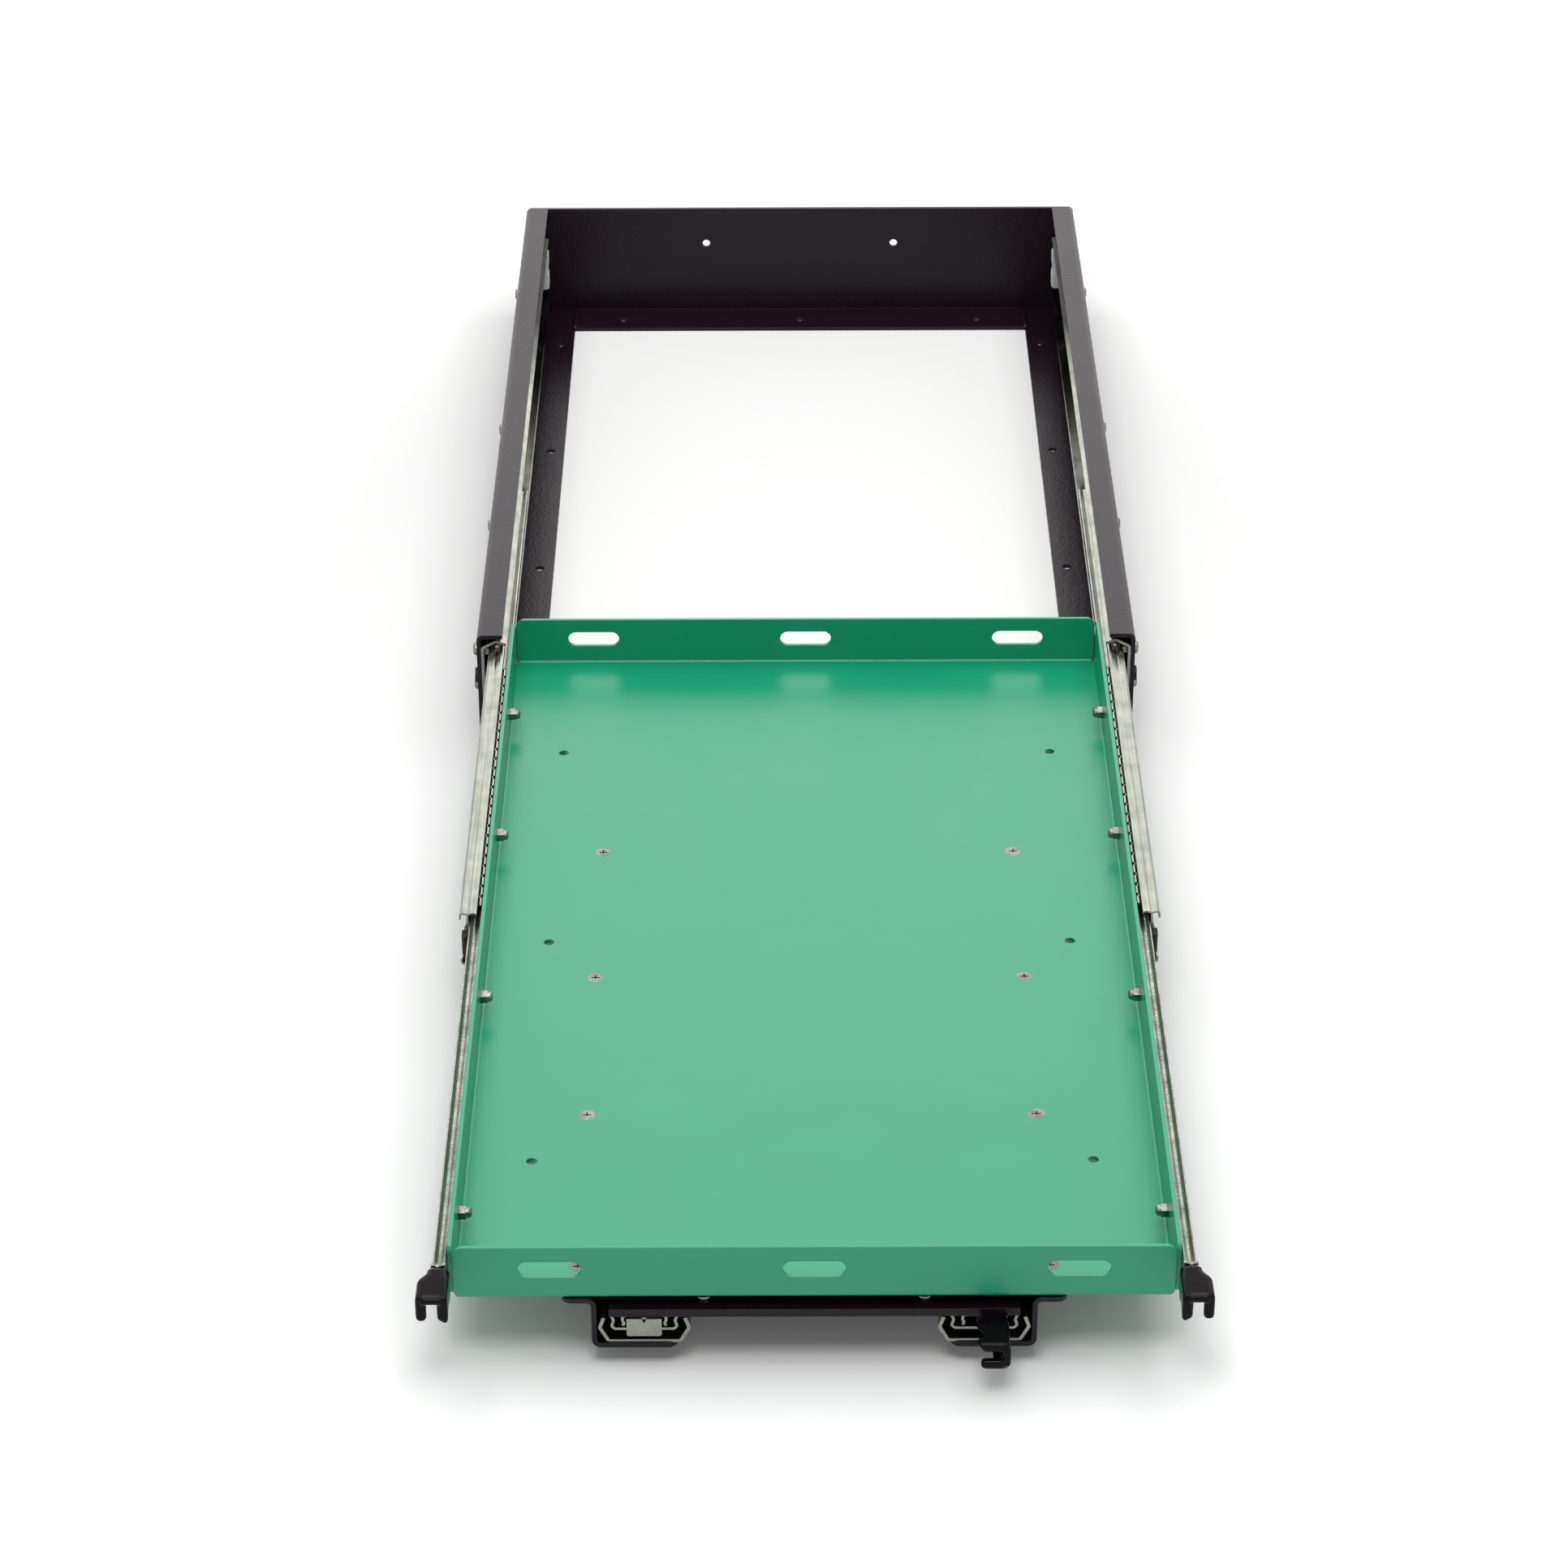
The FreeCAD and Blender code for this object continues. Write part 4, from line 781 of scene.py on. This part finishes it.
@dataclass(frozen=True)
class LeverGrip:
    """A hand lever: a steel blade, and a forked grip dipped in thick glossy vinyl.

    Places are millimetres across the slide, ahead of the rail's front end, and by depth."""

    name: str
    body: str
    node: str
    place: SlidePlace
    rail_front: float
    voxel: float = 0.5
    rounds: int = 40

    def y(self, ahead: float) -> float:
        """A place along Y, given by how far it lies ahead of the rail's front end."""
        return self.rail_front - ahead

    def slab(self, outline: list[tuple[float, float]], low: float, high: float,
             round_mm: float) -> bmesh.types.BMesh:
        """A slab between two places across the slide.

        Args:
            outline: Its corners as (ahead, depth).
            low: The place of its first face.
            high: The place of its last face.
            round_mm: The radius of its edges.

        Returns:
            The closed shape.
        """
        corners = [self.place.at(low, self.y(ahead), depth) for ahead, depth in outline]
        run = self.place.at(high, 0, 0) - self.place.at(low, 0, 0)
        return solid(corners, run, round_mm, 3)

    def cheek(self, outline: list[tuple[float, float]], depth0: float, depth1: float,
              round_mm: float) -> bmesh.types.BMesh:
        """A wall between two depths.

        Args:
            outline: Its corners as (ahead, across).
            depth0: The depth of its first face.
            depth1: The depth of its last face.
            round_mm: The radius of its edges.

        Returns:
            The closed shape.
        """
        corners = [self.place.at(across, self.y(ahead), depth0) for ahead, across in outline]
        run = self.place.at(0, 0, depth1) - self.place.at(0, 0, depth0)
        return solid(corners, run, round_mm, 3)

    def build(self, vinyl: bpy.types.Material, steel: bpy.types.Material) -> None:
        """Make the grip in one skin, and the blade behind it.

        Args:
            vinyl: The grip's vinyl.
            steel: The blade's steel.
        """
        top = [(1.6, 19.9), (1.6, 9.4), (7.2, 8.6), (12.4, 4.4), (31.4, 3.8), (31.4, 21.9), (12.0, 21.9),
               (6.0, 20.7)]
        shape = self.slab(top, 8.9, 13.5, 1.9)
        for depth0, depth1 in ((3.7, 10.0), (15.7, 22.0)):
            leg = [(26.5, depth0), (32.0, depth0), (32.0, depth1), (26.5, depth1)]
            merge_in(shape, self.slab(leg, -3.2, 12.0, 2.2))
        side = [(2.6, 12.6), (2.6, -2.6), (7.0, -3.6), (11.0, -6.4), (15.0, -4.0), (19.5, -1.4), (23.0, -3.0),
                (26.5, -6.0), (31.9, -3.9), (32.0, 12.6)]
        merge_in(shape, self.cheek(side, 18.4, 21.9, 1.4))
        web = [(13.0, 3.9), (31.0, 3.8), (31.0, 6.6), (13.0, 6.8)]
        merge_in(shape, self.slab(web, 4.0, 12.5, 1.0))
        brow = [(29.4, 6.2), (33.3, 6.8), (33.3, 18.8), (29.4, 19.4)]
        merge_in(shape, self.slab(brow, 9.4, 13.9, 1.5))
        collar = [(2.0, 12.0), (12.0, 12.0), (12.0, 16.5), (2.0, 16.5)]
        merge_in(shape, self.slab(collar, 3.0, 11.0, 1.2))
        add_piece(f"{self.name}_grip", melted(shape, self.voxel, self.rounds), vinyl, self.body,
                  (self.node,), sharp_degrees=70.0)
        blade = [(4.0, 13.0), (-49.0, 13.0), (-49.0, 15.5), (4.0, 15.5)]
        add_piece(f"{self.name}_blade", self.slab(blade, -4.5, 4.5, 0.5), steel, self.body,
                  (self.node,))


@dataclass(frozen=True)
class StopBall:
    """A bright dimple at the top and the bottom, inside the front end of an outer member."""

    place: SlidePlace
    across: float = 20.3
    y: float = 4.0
    depth: float = 11.2
    radius: float = 2.3
    stretch: float = 1.2

    def build(self) -> bmesh.types.BMesh:
        """Make both dimples."""
        shape = bmesh.new()
        for sign in (-1, 1):
            spot = Matrix.Translation(self.place.at(sign * self.across, self.y, self.depth))
            size = Matrix.Diagonal((mm(self.radius), mm(self.radius * self.stretch), mm(self.radius), 1.0))
            bmesh.ops.create_icosphere(shape, subdivisions=3, radius=1.0, matrix=spot @ size)
        return shape


@dataclass
class Slides:
    """The members, cages and levers of the four ball bearing slides."""

    def dress(self) -> None:
        """Give the slides their finishes."""
        # The outer rails darken towards the rear with painted shade and painted dark reflection.
        dress(both("side_outer_rail"), SHADED_RAIL.build())
        rails = RAIL_ZINC.build()
        for stem in ("side_middle_rail", "side_inner_rail", "table_outer_rail", "table_middle_rail",
                     "table_inner_rail"):
            dress(both(stem), rails)
        cages = CAGE_STEEL.build()
        # Near-black steel for the cage strips, which paint the shade in the gaps.
        dark = SHADE_STRIP_STEEL.build()
        mottled = MOTTLED_ZINC.build()
        rubber = RUBBER.build()
        vinyl = VINYL.build()
        plastic = BUFFER_PLASTIC.build()
        for name, side in SIDES:
            place = SlidePlace(Mounting.STANDING, side)
            MiddleRail(side, name).build(rails, rubber)
            InnerRail(side, name).build(mottled)
            BallCage(f"side_inner_cage_{name}", f"side_inner_cage_{name}_body", f"side_inner_cage_{name}",
                     place, -332.0, -22.0, 16.9, 15.6, 19.0).build(rails, dark)
            BallCage(f"side_outer_cage_{name}", f"side_outer_cage_{name}_body", f"side_outer_cage_{name}",
                     place, 20.0, 288.0, 21.6, 9.4, 14.0).build(rails, dark)
            Buffer(side, name).build(plastic)
            LeverGrip(f"side_lever_{name}", f"side_lever_{name}_body", f"side_lever_{name}", place,
                      SIDE_RAIL_FRONT).build(vinyl, cages)
            add_piece(f"stop_dimples_{name}", StopBall(place).build(), rails, "base")
        LeverGrip("table_lever", "table_lever_body", "table_lever", SlidePlace(Mounting.LYING, 1),
                  TABLE_RAIL_FRONT).build(vinyl, cages)
        dress(both("side_bumper"), rubber)
        for stem in ("side_outer_cage", "side_inner_cage", "table_outer_cage", "table_inner_cage",
                     "side_lever_pivot"):
            dress(both(stem), cages)
        dress(["side_lever_springs", "table_lever_spring", "table_lever_pivot"], cages)


@dataclass
class Tray:
    """The green tray with the brackets under it."""

    def dress(self) -> None:
        """Give the tray and the brackets their finishes."""
        dress(["tray"], TRAY_COAT.build())
        dress(both("table_bracket"), BRACKET_COAT.build())


@dataclass
class Table:
    """The stowed table."""

    def dress(self) -> None:
        """Give the table its finish."""
        dress(["table_panel"], TABLE_COAT.build())


@dataclass
class Fasteners:
    """The bolts, nuts and screws."""

    def dress(self) -> None:
        """Give the fasteners their finish."""
        dress(["rail_to_base_bolts", "rail_to_base_nuts", "tray_side_bolts", "tray_cap_nuts",
               "bracket_screws", "bracket_nuts", "table_rail_bolts", "table_rail_nuts",
               "table_panel_screws", "table_panel_nuts", "table_panel_spacers",
               "table_front_bolts", "table_front_nuts"], FASTENER_ZINC.build())


@dataclass
class Studio:
    """The floor, the lamps, the white surroundings and the camera."""

    floor_half: float = 9.0
    floor_colour: str = "F2F2F1"
    weave_colour: str = "EFEFEF"
    weave_mm: float = 3.0
    near_lift: float = 0.05
    far_lift: float = 0.8
    near_radii: tuple[float, float] = (0.62, 1.12)
    lift_reach: tuple[float, float] = (0.6, 1.4)
    world_level: float = 0.38
    top_light_size: float = 2.4
    top_light_power: float = 40.0
    top_light_place: tuple[float, float, float] = (0.1, 0.1, 2.1)
    key_light_size: float = 0.8
    key_light_power: float = 18.0
    key_light_place: tuple[float, float, float] = (-0.1, -1.6, 2.1)
    panel_size: tuple[float, float] = (3.6, 2.4)
    panel_level: float = 1.15
    panel_place: tuple[float, float, float] = (0.0, 3.0, 1.5)
    camera_place: tuple[float, float, float] = (-0.019375, -2.71657, 1.58564)
    camera_pitch: float = 0.535423
    camera_yaw: float = 0.001399
    camera_roll: float = -0.002481
    focal_share: float = 5473.764 / 1932.0
    sensor_mm: float = 36.0
    sight: float = 50.0

    def floor(self) -> None:
        """Lay the floor, which keeps the object's shadow."""
        mesh = bpy.data.meshes.new("floor")
        shape = bmesh.new()
        bmesh.ops.create_grid(shape, x_segments=1, y_segments=1, size=self.floor_half)
        shape.to_mesh(mesh)
        shape.free()
        floor = bpy.data.objects.new("floor", mesh)
        bpy.context.scene.collection.objects.link(floor)
        material, tree, place = new_material("white_paper_floor")
        weave = add_node(tree, "ShaderNodeTexNoise", {"Scale": grain(self.weave_mm)}, {"Vector": place})
        tone = add_node(tree, "ShaderNodeMix",
                        {6: linear(self.floor_colour), 7: linear(self.weave_colour)},
                        {0: weave.outputs["Fac"]}, data_type="RGBA")
        paper = add_node(tree, "ShaderNodeBsdfDiffuse", links={"Color": tone.outputs[2]})
        across, along = self.near_radii
        spread = add_node(tree, "ShaderNodeMapping", {"Scale": (1 / across, 1 / along, 0.0)},
                          {"Vector": place})
        away = add_node(tree, "ShaderNodeVectorMath", links={0: spread.outputs["Vector"]}, operation="LENGTH")
        level = add_node(tree, "ShaderNodeMapRange",
                         {"From Min": self.lift_reach[0], "From Max": self.lift_reach[1],
                          "To Min": self.near_lift, "To Max": self.far_lift},
                         {"Value": away.outputs["Value"]}, interpolation_type="SMOOTHSTEP")
        lift = add_node(tree, "ShaderNodeEmission", {"Color": linear("FFFFFF")},
                        {"Strength": level.outputs["Result"]})
        lit = add_node(tree, "ShaderNodeAddShader", links={0: paper.outputs[0], 1: lift.outputs[0]})
        seen = self.seen_directly(tree)
        mix = add_node(tree, "ShaderNodeMixShader", links={0: seen, 1: paper.outputs[0], 2: lit.outputs[0]})
        output(tree, mix.outputs[0])
        mesh.materials.append(material)

    def seen_directly(self, tree: bpy.types.NodeTree) -> bpy.types.NodeSocket:
        """A socket that is 1 for rays from the camera and for mirror and glass rays.

        Args:
            tree: The material's or the world's node tree.

        Returns:
            The socket.
        """
        path = add_node(tree, "ShaderNodeLightPath")
        direct = path.outputs["Is Camera Ray"]
        for kind in ("Is Glossy Ray", "Is Transmission Ray"):
            larger = add_node(tree, "ShaderNodeMath", links={0: direct, 1: path.outputs[kind]},
                              operation="MAXIMUM")
            direct = larger.outputs[0]
        return direct

    def surroundings(self) -> None:
        """Make the white surroundings."""
        world = bpy.data.worlds.new("studio")
        bpy.context.scene.world = world
        world.use_nodes = True
        tree = world.node_tree
        tree.nodes.clear()
        dim = add_node(tree, "ShaderNodeBackground",
                       {"Color": linear("FFFFFF"), "Strength": self.world_level})
        white = add_node(tree, "ShaderNodeBackground", {"Color": linear("FFFFFF"), "Strength": 1.0})
        mix = add_node(tree, "ShaderNodeMixShader", links={0: self.seen_directly(tree), 1: dim.outputs[0],
                                                           2: white.outputs[0]})
        add_node(tree, "ShaderNodeOutputWorld", links={"Surface": mix.outputs[0]})

    def lamps(self) -> None:
        """Hang the broad and the small lamp above, and stand the panel behind that only mirrors show."""
        above = (("top_softbox", self.top_light_size, self.top_light_power, self.top_light_place),
                 ("key_lamp", self.key_light_size, self.key_light_power, self.key_light_place))
        for name, size, power, place in above:
            data = bpy.data.lights.new(name, "AREA")
            data.shape = "SQUARE"
            data.size = size
            data.energy = power
            lamp = bpy.data.objects.new(name, data)
            lamp.location = place
            bpy.context.scene.collection.objects.link(lamp)
        data = bpy.data.lights.new("rear_panel", "AREA")
        data.shape = "RECTANGLE"
        data.size, data.size_y = self.panel_size
        data.energy = math.pi * self.panel_size[0] * self.panel_size[1] * self.panel_level
        panel = bpy.data.objects.new("rear_panel", data)
        panel.matrix_world = (Matrix.Translation(Vector(self.panel_place))
                              @ Matrix.Rotation(-math.pi / 2, 4, "X"))
        panel.visible_diffuse = False
        panel.visible_camera = False
        bpy.context.scene.collection.objects.link(panel)

    def camera(self) -> None:
        """Set the camera where the photograph was taken from."""
        data = bpy.data.cameras.new("camera")
        data.sensor_width = self.sensor_mm
        data.lens = self.sensor_mm * self.focal_share
        data.clip_end = self.sight
        camera = bpy.data.objects.new("camera", data)
        sin_yaw, cos_yaw = math.sin(self.camera_yaw), math.cos(self.camera_yaw)
        sin_pitch, cos_pitch = math.sin(self.camera_pitch), math.cos(self.camera_pitch)
        ahead = Vector((sin_yaw * cos_pitch, cos_yaw * cos_pitch, -sin_pitch))
        level = Vector((cos_yaw, -sin_yaw, 0.0))
        above = level.cross(ahead)
        sin_roll, cos_roll = math.sin(self.camera_roll), math.cos(self.camera_roll)
        right = level * cos_roll + above * sin_roll
        up = above * cos_roll - level * sin_roll
        turn = Matrix((right, up, -ahead)).transposed().to_4x4()
        camera.matrix_world = Matrix.Translation(Vector(self.camera_place)) @ turn
        bpy.context.scene.collection.objects.link(camera)
        bpy.context.scene.camera = camera

    def build(self) -> None:
        """Set up the whole studio."""
        self.floor()
        self.surroundings()
        self.lamps()
        self.camera()
        bpy.context.scene.view_settings.view_transform = "Standard"


def main() -> None:
    """Build and dress each sub-assembly in turn."""
    logging.basicConfig(level=logging.INFO)
    for part in (BaseFrame(), Slides(), Tray(), Table(), Fasteners()):
        part.dress()
        LOG.info("finished %s", type(part).__name__)
    Studio().build()


if __name__ == "__main__":
    main()
